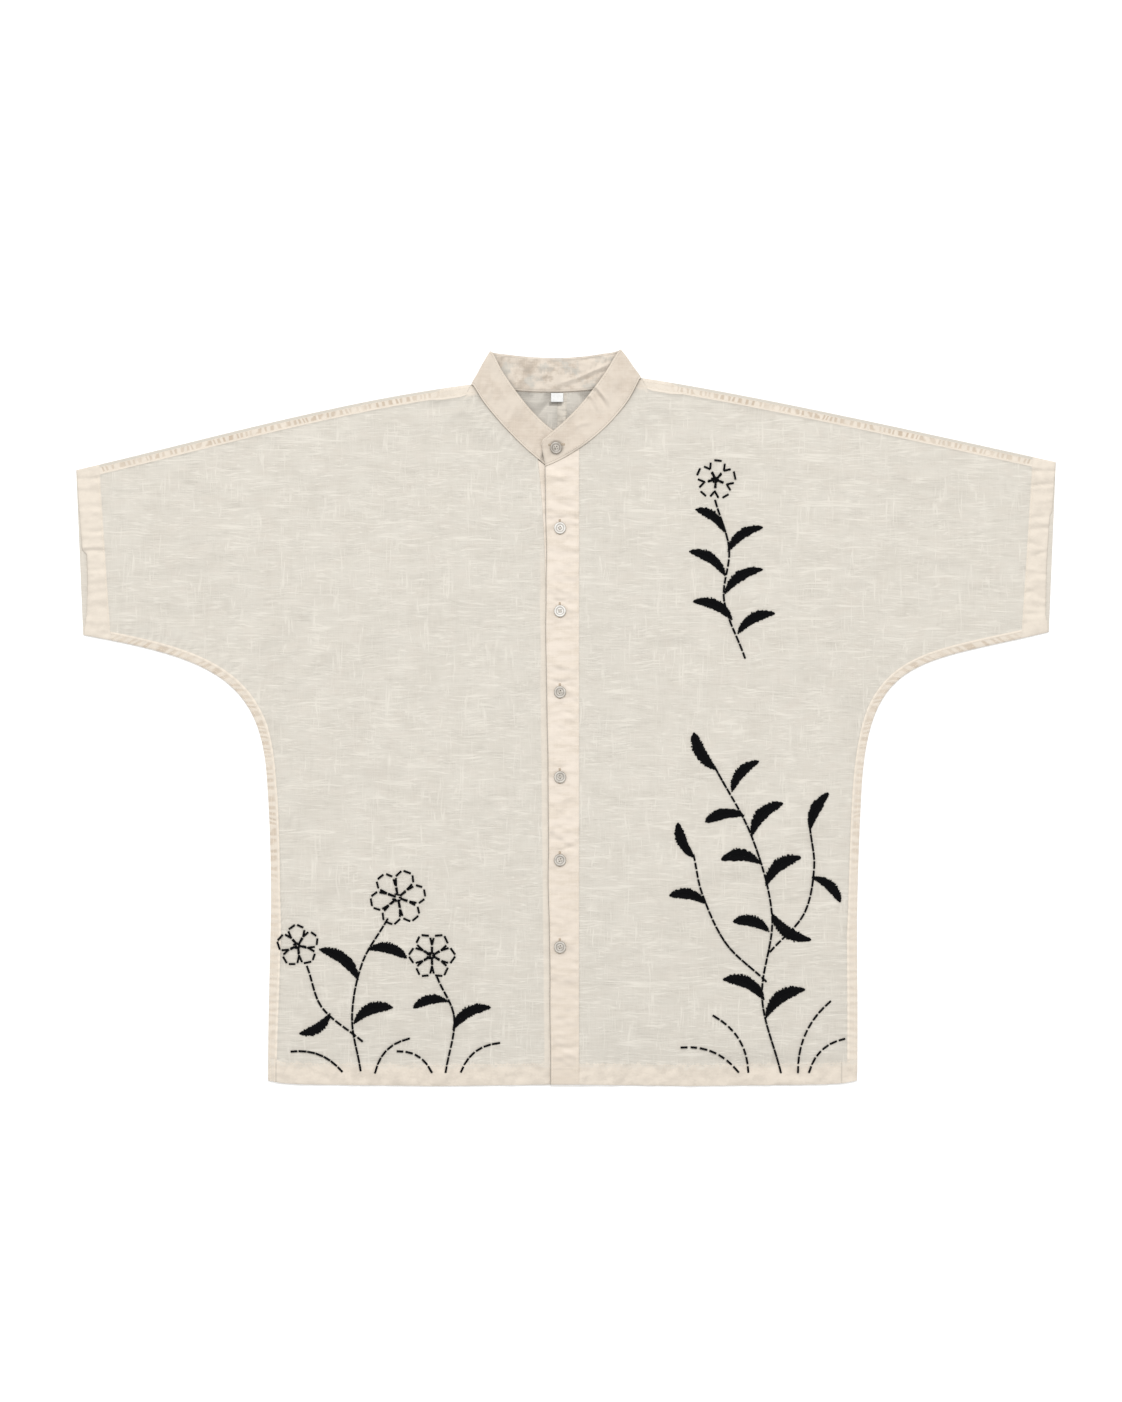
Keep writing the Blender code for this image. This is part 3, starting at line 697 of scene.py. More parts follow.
def doubled_material(name, tone, dark_tone, fold_scale=(16.0, 60.0, 16.0), contrast=0.6, grey=None):
    """Doubled cotton of the bands and collar: denser and warmer, with soft pressed folds and painted shade on
    them.
    """
    tone, dark_tone = linear(*tone), linear(*dark_tone)
    material, graph, shader = base_material(name)
    position = graph.position()
    weave = place_group(graph, "weave", {"Position": position})
    folds = graph.long_noise(position, fold_scale, 4.0, 0.65)
    fine = graph.patches(position, (110.0, 340.0, 110.0), 3.0, 0.6, 0.52, 0.66)
    # Painted shade on the soft folds
    colour = graph.tinted(tone, dark_tone, graph.ramp(folds, 0.42, 0.62), contrast)
    colour = graph.tinted(colour, scaled(tone, 1.08), fine, 0.4)
    if grey is not None:
        # Grey patches of painted shade and lighter patches of painted light on the crumpled lining
        mottle = graph.ramp(graph.noise(position, 58.0, 4.0, 0.65), 0.50, 0.62)
        lights = graph.patches(position, (90.0, 50.0, 90.0), 3.0, 0.6, 0.58, 0.70)
        colour = graph.tinted(colour, linear(*grey), mottle, 0.9)
        colour = graph.tinted(colour, scaled(tone, 1.12), lights, 0.8)
    # Painted shade: darker towards the hem, as the light falls off down the shirt
    low = graph.fall(graph.split(position)[1], -0.36, -0.02)
    edge = graph.attribute("edge")
    colour = graph.tinted(colour, scaled(tone, 1.07), graph.ramp(weave["Light"], 0.38, 0.62), 0.4)
    colour = graph.tinted(colour, dark_tone, low, 0.4)
    colour = graph.tinted(colour, dark_tone, graph.attribute("hem"), 0.4)
    # Painted shade in the groove of the stitch line and a painted highlight on the rolled edge
    colour = graph.tinted(colour, scaled(tone, 0.74), line_share(graph, edge, 0.0023, 0.0007), 0.46)
    colour = graph.tinted(colour, scaled(tone, 1.16), line_share(graph, edge, 0.0012, 0.0007), 0.5)
    colour = creased(graph, colour, tone, 0.5, 0.42)
    # Painted shade along edges, round the collar's button, in the overlap's notch and on the lining behind
    # the neck
    colour = graph.mix_colour(graph.attribute("painted_shade"), colour, scaled(tone, 0.22))
    height = graph.plus(graph.times(weave["Height"], 0.08), graph.times(folds, 0.9))
    finish_surface(graph, shader, colour, height, 0.5, 0.0006)
    shader.inputs["Sheen Weight"].default_value = 0.1
    return material


def thread_material(name, tone, roughness=0.7, gloss=0.5):
    """Twisted sewing or embroidery thread."""
    tone = linear(*tone)
    material, graph, shader = base_material(name, roughness)
    strands = graph.noise(graph.position(), 1800.0, 2.0)
    bright = tuple(c * 1.6 for c in tone[:3]) + (1.0,)
    finish_surface(graph, shader, graph.tinted(tone, bright, strands, 0.5), strands, 0.5, 0.0002)
    shader.inputs["Specular IOR Level"].default_value = gloss
    return material


def pearl_material(name, dull, pale, outline):
    """Cloudy shell with a soft polish, with painted shade round the rim's foot and round the dish."""
    outline = linear(*outline)
    material, graph, shader = base_material(name, 0.38)
    clouds = graph.noise(graph.position(), 260.0, 4.0, 0.6)
    ring = graph.attribute("ring")
    colour = graph.mix_colour(graph.ramp(clouds, 0.35, 0.68), linear(*dull), linear(*pale))
    colour = graph.tinted(colour, outline, line_share(graph, ring, 0.0037, 0.0007), 0.55)
    colour = graph.tinted(colour, scaled(outline, 0.8), graph.ramp(ring, 0.0054, 0.0060), 0.9)
    finish_surface(graph, shader, colour, clouds, 0.15, 0.0003)
    shader.inputs["Coat Weight"].default_value = 0.12
    shader.inputs["Coat Roughness"].default_value = 0.2
    return material


# Panels

def stations(length, count, start=0.0, end=0.0, steps=7):
    """Distances along an edge: dense on a folded rim and in the bands, even between them."""
    rim = [0.4, 1.0]
    first = [0.0] + rim
    last = [length - d for d in reversed(first)]
    if start:
        first += list(np.linspace(rim[-1], start, steps)[1:]) + [start + 0.6]
    if end:
        last = [length - end - 0.6] + list(np.linspace(length - end, length - rim[-1], steps)[:-1]) + last
    inner = list(np.linspace(first[-1], last[0], count + 1)[1:-1])
    return np.array(first + inner + last)


def front_seam(side):
    """The seam edge of a front collar stretch, carried a little past its free end."""
    seam = collar_stretch(side, 40)[0]
    past = (14.0, 252.0) if side == "right" else (-25.0, 250.0)
    return np.vstack([seam[:, :2], past])


def inner_edges(side, front):
    """The neckline and the centre edge of a panel, each from the shoulder downwards."""
    if not front:
        whole = shifted(collar_back(40)[0][:, :2], -LAYER_GAP)
        centre_x = BACK_SEAM_X + (-0.02 if side == "right" else 0.02)
        if side == "left":
            whole = whole[::-1]
        neck = cut_at_x(whole, centre_x)
        centre = np.linspace(neck[-1], (centre_x, HEM_Y), 60)
    elif side == "right":
        edge = bezier("underlap_edge")
        neck = cut_at_x(shifted(front_seam("right"), -LAYER_GAP), edge[0, 0])
        centre = np.vstack([neck[-1], edge[edge[:, 1] < neck[-1][1] - 4.0]])
    else:
        neck = cut_at_x(shifted(front_seam("left"), LAYER_GAP), PLACKET_EDGE_X)
        centre = np.linspace(neck[-1], (PLACKET_EDGE_X, HEM_Y), 60)
    neck = np.vstack([bezier(side + "_shoulder")[-1], neck])
    return neck, centre


def placket_base(y):
    """Height of the overlap band's underside, which rises over the collar at the neck."""
    start, end = PLACKET_RISE
    rise = smooth((y - start) / (end - start))
    return mix(OVERLAP_BASE, NECK_BASE, rise)


def panel_layout(side, front, fine):
    """Grid points of a panel with the distances that its bands and puckers follow.

    Rows run from the underarm and side, the far line, to the shoulder, neck and centre, the near line.
    Zone 0 is the sleeve up to the shoulder, 1 lies beside the neck and 2 reaches down to the hem.
    """
    rounding_rows = 3
    least_sine = 0.6
    neck, centre = inner_edges(side, front)
    parts = (
        (bezier(side + "_underarm"), bezier(side + "_shoulder"), int(114 * fine), CUFF_BAND, 0.0),
        (bezier(side + "_side_high"), neck, int(52 * fine), 0.0, 0.0),
        (bezier(side + "_side_low"), centre, int(148 * fine), 0.0, HEM_BAND),
    )
    far, near, far_run, near_run, zone = [], [], [], [], []
    start_far = start_near = 0.0
    steps = max(4, int(9 * fine))
    for k, (outer, inner, count, start, end) in enumerate(parts):
        outer_length, inner_length = run_of(outer)[-1], run_of(inner)[-1]
        outer_runs = stations(outer_length, count, start, end, steps)
        inner_runs = stations(inner_length, count, start - CUFF_TAPER if start else 0.0, end, steps)
        total = len(outer_runs)
        kept = np.arange(0 if k == 0 else rounding_rows, total)
        if k < 2:
            kept = np.append(kept[:-rounding_rows], total - 1)
        far.append(at_runs(outer, outer_runs)[kept])
        near.append(at_runs(inner, inner_runs)[kept])
        far_run.append((outer_runs + start_far)[kept])
        near_run.append((inner_runs + start_near)[kept])
        zone.append(np.full(len(kept), k))
        start_far += outer_length
        start_near += inner_length
    far, near = np.vstack(far), np.vstack(near)
    far_run, near_run, zone = np.concatenate(far_run), np.concatenate(near_run), np.concatenate(zone)
    row = near - far
    length = np.linalg.norm(row, axis=1)
    row_unit = row / length[:, None]
    far_step, near_step = tangents(far), tangents(near)
    sine_far = np.maximum(least_sine, np.abs(np.cross(row_unit, far_step)))
    sine_near = np.maximum(least_sine, np.abs(np.cross(row_unit, near_step)))

    # The shoulder's sewn band widens a little over its last stretch before the neck
    to_neck = run_of(parts[0][1])[-1] - near_run
    near_neck = smooth((38.0 - to_neck) / 16.0) * (zone == 0) * (1.0 if front else 0.0)
    shoulder_band = SHOULDER_BAND + 1.6 * near_neck
    inner_band = shoulder_band if front else np.full(len(near_run), BACK_INNER_BAND)
    side_width = np.interp(far_run, *zip(*SIDE_WIDTH[side]))
    columns = int(88 * fine)
    steps = max(4, int(8 * fine))
    places = np.array([stations(length[i], columns, side_width[i] / sine_far[i],
                                inner_band[i] / sine_near[i], steps) for i in range(len(far))])
    share = places / length[:, None]
    points = far[:, None, :] + row[:, None, :] * share[:, :, None]
    side_along = far_run[:, None] + ((points - far[:, None, :]) * far_step[:, None, :]).sum(axis=2)
    near_along = near_run[:, None] + ((points - near[:, None, :]) * near_step[:, None, :]).sum(axis=2)

    outward = -1.0 if side == "right" else 1.0
    if front:
        cuff = np.clip(1.0 - far_run / (CUFF_BAND - 1.0), 0.0, 1.0)[:, None]
        points[:, :, 0] -= outward * cuff * np.interp(share, *zip(*CUFF_INSET[side]))
    near_hem = smooth(1.0 - np.abs(near[:, 1] - HEM_Y) / 90.0)
    points[:, :, 1] -= np.interp(share, *zip(*HEM_DROP)) * np.where(zone == 2, near_hem, 0.0)[:, None]
    rows = {
        "zone": zone, "near_run": near_run, "to_neck": to_neck, "near_neck": near_neck,
        "shoulder_band": shoulder_band, "side_width": side_width,
        "from_cuff": np.where(zone == 0, far_run, FAR_OFF),
        "from_hem": np.where(zone == 2, near[:, 1] - HEM_Y, FAR_OFF),
    }
    layout = {key: values[:, None] * np.ones_like(share) for key, values in rows.items()}
    layout.update({
        "x": points[:, :, 0], "y": points[:, :, 1], "near_y": near[:, 1],
        "side_along": side_along, "near_along": near_along,
        "from_side": places * sine_far[:, None],
        "from_inner": (length[:, None] - places) * sine_near[:, None],
    })
    return layout


def cuff_relief(side, x, y, lay):
    """Pressed creases that run across the cuff hem."""
    total = np.zeros_like(x)
    outward = -1.0 if side == "right" else 1.0
    from_fold = outward * x - 450.0
    for k, (level, slope, width, height) in enumerate(CUFF_CREASES[side]):
        away = y - level - slope * from_fold - 1.2 * np.sin(from_fold / 9.0 + k * 1.7)
        uneven = 0.7 + 0.5 * np.sin(from_fold / 7.0 + k * 2.3)
        total += height * uneven * bell(away, width)
    total += 0.3 * soft_noise(x * 0.35, y, 7.0, 41) + 0.2 * soft_noise(x * 0.5, y, 3.8, 42)
    return total * smooth((CUFF_BAND + 4.0 - lay["from_cuff"]) / 8.0)


def small_creases(x, y, seed, count, spread):
    """Many short, nearly level creases of uneven length and depth."""
    draw = np.random.default_rng(seed)
    total = np.zeros_like(x)
    for _ in range(count):
        cx, cy = draw.uniform(*spread[0]), draw.uniform(*spread[1])
        length = draw.uniform(14.0, 60.0)
        angle = draw.normal(0.0, 0.16) if draw.random() < 0.72 else draw.normal(1.57, 0.2)
        height = draw.uniform(0.12, 0.34) * draw.choice((-1.0, 1.0))
        width = draw.uniform(2.4, 4.2)
        near = (np.abs(x - cx) < length) & (np.abs(y - cy) < length)
        dx, dy = x[near] - cx, y[near] - cy
        along = dx * math.cos(angle) + dy * math.sin(angle)
        across = dy * math.cos(angle) - dx * math.sin(angle) + 2.0 * np.sin(along / 11.0)
        total[near] += height * bell(across, width) * smooth(1.0 - np.abs(along) / (length * 0.5))
    return total


def sewn_band_values(side, front, lay):
    """Values that the material reads at a panel's points, and which points lie in its bands and hems.

    Run and across are the directions along and across a sewn band that its puckers follow.
    """
    x, y, zone = lay["x"], lay["y"], lay["zone"]
    in_side = lay["from_side"] <= lay["side_width"] + REACH
    in_shoulder = (zone == 0) & (lay["from_inner"] <= lay["shoulder_band"] + REACH)
    in_cuff = lay["from_cuff"] <= CUFF_BAND + REACH
    in_hem = lay["from_hem"] <= HEM_BAND + REACH
    band = np.maximum((in_side | in_shoulder) * 1.0, in_cuff * (1.0 if front else 0.45))
    if front and side == "right":
        edge = bezier("overlap_edge")[::-1]
        turned_in = x - np.interp(y, edge[:, 1], edge[:, 0]) + 6.0
        band = np.maximum(band, 0.75 * smooth(turned_in / 0.8) * smooth((190.0 - y) / 60.0))
    if front:
        below_shoulder = away_from(x, y, bezier(side + "_shoulder"))
        band = np.maximum(band, smooth((SHOULDER_BAND + 2.6 - below_shoulder) / 1.4) * (zone == 1))

    sewn = (in_side | in_shoulder) & ~in_cuff & ~in_hem
    low_side = smooth((40.0 - y) / 120.0)
    near_cuff = smooth((np.abs(x) - 320.0) / 80.0)
    on_shoulder = lay["from_inner"] / lay["shoulder_band"]
    on_shoulder = mix(on_shoulder, np.maximum(on_shoulder, 0.5), lay["near_neck"])
    across = np.where(in_side, 0.36 + 0.64 * (lay["from_side"] / lay["side_width"]), on_shoulder)
    across = np.where(sewn, across, 2.0)
    level_run = lay["side_along"] * mix(0.5, 0.62, low_side) - 3.5 * across * mix(2.4, 1.0, low_side)
    run = np.where(in_shoulder, lay["near_along"] * 0.8 - 3.2 * across, level_run)
    low_share = 0.66 if side == "right" else 0.4
    # How strong the painted shade in the puckers is
    pucker = np.where(in_shoulder, 0.95, mix(0.68 + 0.3 * near_cuff, low_share, low_side))
    uneven = 0.45 + 0.55 * smooth(0.6 + soft_noise(lay["side_along"], 0.0 * x, 34.0, 61))
    on_top = (0.88 + 0.3 * soft_noise(lay["near_run"], 0.0 * x, 21.0, 62)) * (1.0 - lay["near_neck"])
    from_side = lay["from_side"] + (7.5 if side == "right" else 0.0)
    fields = {
        "band": band, "run": run * MM, "across": across,
        "pucker": pucker * np.where(in_shoulder, on_top, uneven),
        "plain": (in_side & sewn & ~in_shoulder).astype(float),
        "hem_run": np.minimum(lay["from_hem"], 60.0) * MM,
        "side_run": np.minimum(from_side, 60.0) * MM,
    }
    return fields, in_side | in_shoulder, in_hem | in_cuff


def ripples(lay):
    """Swells of the free cloth with ripples beside its sewn edges, and how free the cloth is."""
    x, y, zone = lay["x"], lay["y"], lay["zone"]
    swell = 0.5 * soft_noise(x, y, 85.0, 3) + 0.3 * soft_noise(x, y, 38.0, 5)
    swell = swell + 0.2 * soft_noise(x * 0.5, y, 17.0, 8)
    free = smooth(lay["from_side"] / 26.0) * smooth((lay["from_hem"] - 16.0) / 30.0)
    free = free * smooth((lay["from_cuff"] - 20.0) / 30.0)
    beside_inner = np.where(zone == 0, lay["from_inner"] / 26.0, (lay["from_inner"] + 8.0) / 30.0)
    free = free * smooth(beside_inner)
    height = (0.6 + swell) * free
    wave = 2.0 * math.pi
    drift = 2.2 * soft_noise(x, y, 30.0, 11)
    pulls = (
        (0.22, lay["side_along"] / 8.0, drift, (lay["from_side"] - lay["side_width"]) / 9.0),
        (0.22, lay["near_run"] / 9.0, drift, (lay["from_inner"] - 10.0) / 9.0),
        (0.3, x / 15.0, drift * 1.4, (lay["from_hem"] - 18.0) / 10.0),
    )
    for strength, along, shift, beside in pulls:
        height = height + strength * np.sin(along * wave + shift) * np.exp(-np.abs(beside))
    return swell, free, height


def front_form(side, lay, raised, across):
    """Top, underside, painted light on its creases and painted shade of a front, which lies on the back and
    is joined to it.
    """
    x, y, zone = lay["x"], lay["y"], lay["zone"]
    _, free, height = ripples(lay)
    open_cloth = np.clip(free + 0.15, 0.0, 1.0)
    height = height + crease_field(x, y, FRONT_CREASES) * open_cloth
    seed = 31 if side == "right" else 32
    height = height + small_creases(x, y, seed, 420, SPREAD[side]) * open_cloth
    height = height + cuff_relief(side, x, y, lay)
    hem_folds = 0.5 * soft_noise(x + 0.4 * y, y * 0.8, 9.0, 15) + 0.35 * soft_noise(x, y, 5.0, 16)
    height = height + hem_folds * smooth((HEM_BAND + 2.0 - lay["from_hem"]) / 5.0) * (zone > 1)

    sewn_edge = (zone < 1) | (lay["from_side"] < 30.0)
    rim = np.minimum(lay["from_side"], np.where(zone == 0, lay["from_inner"], 99.0))
    joined = bell(rim, 1.1) * sewn_edge
    floor = mix(FRONT_BASE - 0.2 + inner_lift(side, lay), BACK_TOP - 0.25, joined)
    rim = np.minimum(rim, np.minimum(lay["from_cuff"], lay["from_hem"]))
    top = floor + CLOTH + raised * 0.5 + height - 0.45 * bell(rim, 0.8)
    top = top + 0.14 * folded_edge(across)
    top = np.maximum(top, floor + THIN_CLOTH)
    bottom = np.minimum(floor + np.maximum(0.0, height), top - THIN_CLOTH)

    # Painted shade: a dark line along the front's cuff edge, which stands above the back, and a painted
    # shadow beside the collar's lower edge, strongest at the corner by the shoulder
    cuff_shade = (0.55 if side == "right" else 0.35) * bell(lay["from_cuff"], 0.7)
    cuff_shade = cuff_shade * (0.6 + 0.4 * np.sin(y / 23.0 + 1.0))
    past_corner = np.maximum(0.0, -lay["to_neck"])
    collar_shadow = 0.10 * np.exp(-np.maximum(0.0, lay["from_inner"]) / 6.0)
    collar_shadow = collar_shadow + 0.42 * np.exp(-lay["from_inner"] / 1.5 - past_corner / 18.0)
    return top, bottom, facing_light(x, y, height, 4.0), cuff_shade + collar_shadow * (zone == 1)


def back_form(side, lay, raised):
    """Top, underside, painted light on its creases and painted shade of a back, which lies on the floor with
    low hollows under it.
    """
    x, y, zone = lay["x"], lay["y"], lay["zone"]
    single = 0.75
    swell, free, height = ripples(lay)
    creases = crease_field(x, y, BACK_CREASES) + small_creases(x, y, 33, 160, SPREAD[side])
    hollow = np.maximum(0.0, creases + 0.25 * swell) * free
    rim = np.minimum(np.minimum(lay["from_side"], lay["from_cuff"]), lay["from_hem"])
    rim = np.minimum(rim, np.where(zone == 0, lay["from_inner"], 99.0))
    rounding = 0.3 * bell(rim, 0.8)
    bottom = 0.02 + 0.6 * hollow + rounding
    top = single + 0.1 * np.maximum(0.0, height) + 0.6 * hollow
    top = top + raised * (BACK_TOP - single) - rounding

    # Painted shade inside the neck, strongest under the collar band's edge, with darker patches in it
    in_neck = smooth((y - 258.0) / 14.0) * smooth((78.0 - np.abs(x + 4.0)) / 12.0)
    dark_patches = smooth(soft_noise(x, y, 9.0, 51) * 2.4 + 0.15) * smooth((y - 286.0) / 22.0)
    shade = in_neck * (0.07 + 0.36 * np.exp(-np.maximum(0.0, 334.0 - y) / 6.0) + 0.42 * dark_patches)
    return top, bottom, facing_light(x, y, height * 0.6, 4.0), np.clip(shade, 0.0, 0.7)


def panel(name, side, front, material, fine):
    """One front or back half with its half sleeve."""
    lay = panel_layout(side, front, fine)
    x, y = lay["x"], lay["y"]
    fields, in_sewn, in_turned = sewn_band_values(side, front, lay)
    back_seam = (lay["zone"] > 1) & (lay["from_inner"] <= BACK_INNER_BAND + REACH) & (not front)
    raised = np.maximum(in_sewn | back_seam, in_turned) * 1.0
    if front:
        top, bottom, crease_light, painted_shade = front_form(side, lay, raised, fields["across"])
    else:
        top, bottom, crease_light, painted_shade = back_form(side, lay, raised)
    fields["crease_light"] = np.clip(crease_light, -1.0, 1.0)
    fields["painted_shade"] = painted_shade
    made = shell(name, np.dstack([x, y, top]), np.dstack([x, y, bottom]), material, fields)
    made["cut_area"] = surface_area(x, y)
    return made


def folded_edge(across):
    """A raised line along the inner fold of the sewn bands."""
    return bell(across - 0.93, 0.07) * (across < 1.5)


def surface_area(x, y):
    """Flat area of a grid of points in square metres."""
    dx, dy = x[1:, 1:] - x[:-1, :-1], y[1:, 1:] - y[:-1, :-1]
    ex, ey = x[1:, :-1] - x[:-1, 1:], y[1:, :-1] - y[:-1, 1:]
    return float(np.abs(dx * ey - dy * ex).sum() / 2.0) * MM * MM


def inner_lift(side, lay):
    """How far the inner edge of a front rises over what lies below it."""
    zone, run = lay["zone"][:, 0], lay["near_run"][:, 0]
    first, last = run[zone == 1].min(), run[zone == 1].max()
    over = side == "left"
    shoulder = smooth((run - first + 150.0) / 150.0)
    neck = mix(1.0, NECK_BASE - FRONT_BASE if over else 0.0, smooth((run - first) / (last - first)))
    centre = placket_base(lay["near_y"]) - FRONT_BASE if over else np.zeros_like(run)
    lift = np.where(zone == 0, shoulder, np.where(zone == 1, neck, centre))
    return lift[:, None] * smooth(1.0 - lay["from_inner"] / 60.0)


# Collar

def fold_frame(side):
    """Seam end and top end of a fold's axis, and the way that the fold faces."""
    seam, top = (np.array(p, float) for p in FOLDS[side])
    along = (top - seam) / np.hypot(*(top - seam))
    outward = np.array([-along[1], along[0]]) if side == "right" else np.array([along[1], -along[0]])
    inset = FOLD_RADIUS + COLLAR_HALF
    return seam - outward * inset, top - outward * inset, outward


def even_points(name, share):
    """A curve of the table, and its points at the given shares of its length."""
    line = bezier(name)
    return line, at_runs(line, share * run_of(line)[-1])


def collar_stretch(side, count):
    """Sections of a front stretch, from the fold to its free end: seam, top, normal."""
    table = UNDERLAP_HEIGHT if side == "right" else OVERLAP_HEIGHT
    ends = np.array(UNDERLAP_END if side == "right" else OVERLAP_END[1:], float)
    seam_start, top_start, _ = fold_frame(side)
    share = np.linspace(0.0, 1.0, count + 1)
    settle = smooth(1.0 - share * 4.0)[:, None]
    lines = []
    for name, start, end, column in (("_neck_seam", seam_start, ends[:, :2], 1),
                                     ("_collar_top", top_start, ends[:, 2:], 2)):
        line, points = even_points(side + name, share)
        points += (start - line[0]) * settle
        z = np.interp(share, [row[0] for row in table], [row[column] for row in table])
        free_end = np.column_stack([end, np.full(len(end), z[-1])])
        lines.append(np.vstack([np.column_stack([points, z]), free_end]))
    return (*lines, np.tile((0.0, 0.0, 1.0), (len(lines[0]), 1)))


def collar_fold(side, steps=14):
    """Sections of the half turn between a front stretch and the back."""
    seam, top, outward = fold_frame(side)
    middle = COLLAR_HALF + FOLD_RADIUS
    angle = -math.pi / 2 + math.pi * np.arange(1, steps) / steps
    normal = np.column_stack([np.outer(np.cos(angle), outward), np.sin(angle)])
    offset = normal * FOLD_RADIUS
    return (*seam, middle) + offset, (*top, middle) + offset, normal


def collar_back(count):
    """Sections behind the neck, from the right fold to the left one."""
    right, left = fold_frame("right"), fold_frame("left")
    share = np.linspace(0.0, 1.0, count + 1)
    near_right = smooth(1.0 - share * 6.0)[:, None]
    near_left = smooth(1.0 - (1.0 - share) * 6.0)[:, None]
    lines = []
    for k, name in enumerate(("back_neck_seam", "back_collar_top")):
        line, points = even_points(name, share)
        points += (right[k] - line[0]) * near_right + (left[k] - line[-1]) * near_left
        lines.append(np.column_stack([points, np.full(len(points), COLLAR_HALF)]))
    return (*lines, np.tile((0.0, 0.0, -1.0), (len(share), 1)))


def collar_sections():
    """All sections from the underlap's free end to the overlap's, with the part that each is in."""
    under = collar_stretch("right", 120)
    over = collar_stretch("left", 124)
    parts = (tuple(a[::-1] for a in under), tuple(a[::-1] for a in collar_fold("right")), collar_back(120),
             collar_fold("left"), over)
    seam, top, normal = (np.vstack([p[k] for p in parts]) for k in range(3))
    kind = np.concatenate([np.full(len(p[0]), k) for k, p in enumerate(parts)])
    return seam, top, normal, kind


# Numbers of the parts of the collar band, in the order of collar_sections
UNDERLAP, BACK, OVERLAP = 0, 2, 4

# Soft spots of painted shade inside the back of the collar: x, y, half width, half height, strength
LINING_SHADE_SPOTS = ((-40.0, 347.0, 9.0, 6.0, 0.32), (-60.0, 357.0, 8.0, 4.0, 0.24), (8.0, 347.0, 11.0, 5.0, 0.16),
                (-24.0, 340.0, 9.0, 4.0, 0.2))


def outer_shade(x, y, part, from_button):
    """Shade on the outer cloth: round the collar's button and beside the overlap's free end."""
    above = smooth((y - 268.0 + 0.5 * (x + 10.0)) / 4.0)
    round_button = (0.14 + 0.3 * above) * bell(from_button - 6.6, 1.3)
    from_end = x - (-25.0 + 0.19 * (y - 250.0))
    notch = bell(from_end + 0.2, 1.9) * smooth((275.0 - y) / 10.0) * smooth((y - 246.0) / 3.0)
    return np.where(part == OVERLAP, round_button, 0.0) + np.where(part == UNDERLAP, 0.85 * notch, 0.0)


def lining_shade(x, y, from_seam):
    """Shade on the lining behind the neck: along its seam, under the folds and in spots."""
    shade = 0.42 * np.exp(-from_seam / 1.8)
    for side in ("right", "left"):
        fold_top = FOLDS[side][1]
        corner = bell(np.hypot(x - fold_top[0], y - fold_top[1] + 3.0), 6.0)
        under_edge = bell(away_from(x, y, bezier(side + "_collar_top")), 1.8)
        shade = shade + 0.2 * corner + 0.26 * under_edge
    for cx, cy, half_x, half_y, strength in LINING_SHADE_SPOTS:
        spot = bell(x - cx, half_x) * bell(y - cy, half_y)
        shade = shade + strength * spot * (0.6 + 0.4 * soft_noise(x, y, 3.0, 52))
    return shade


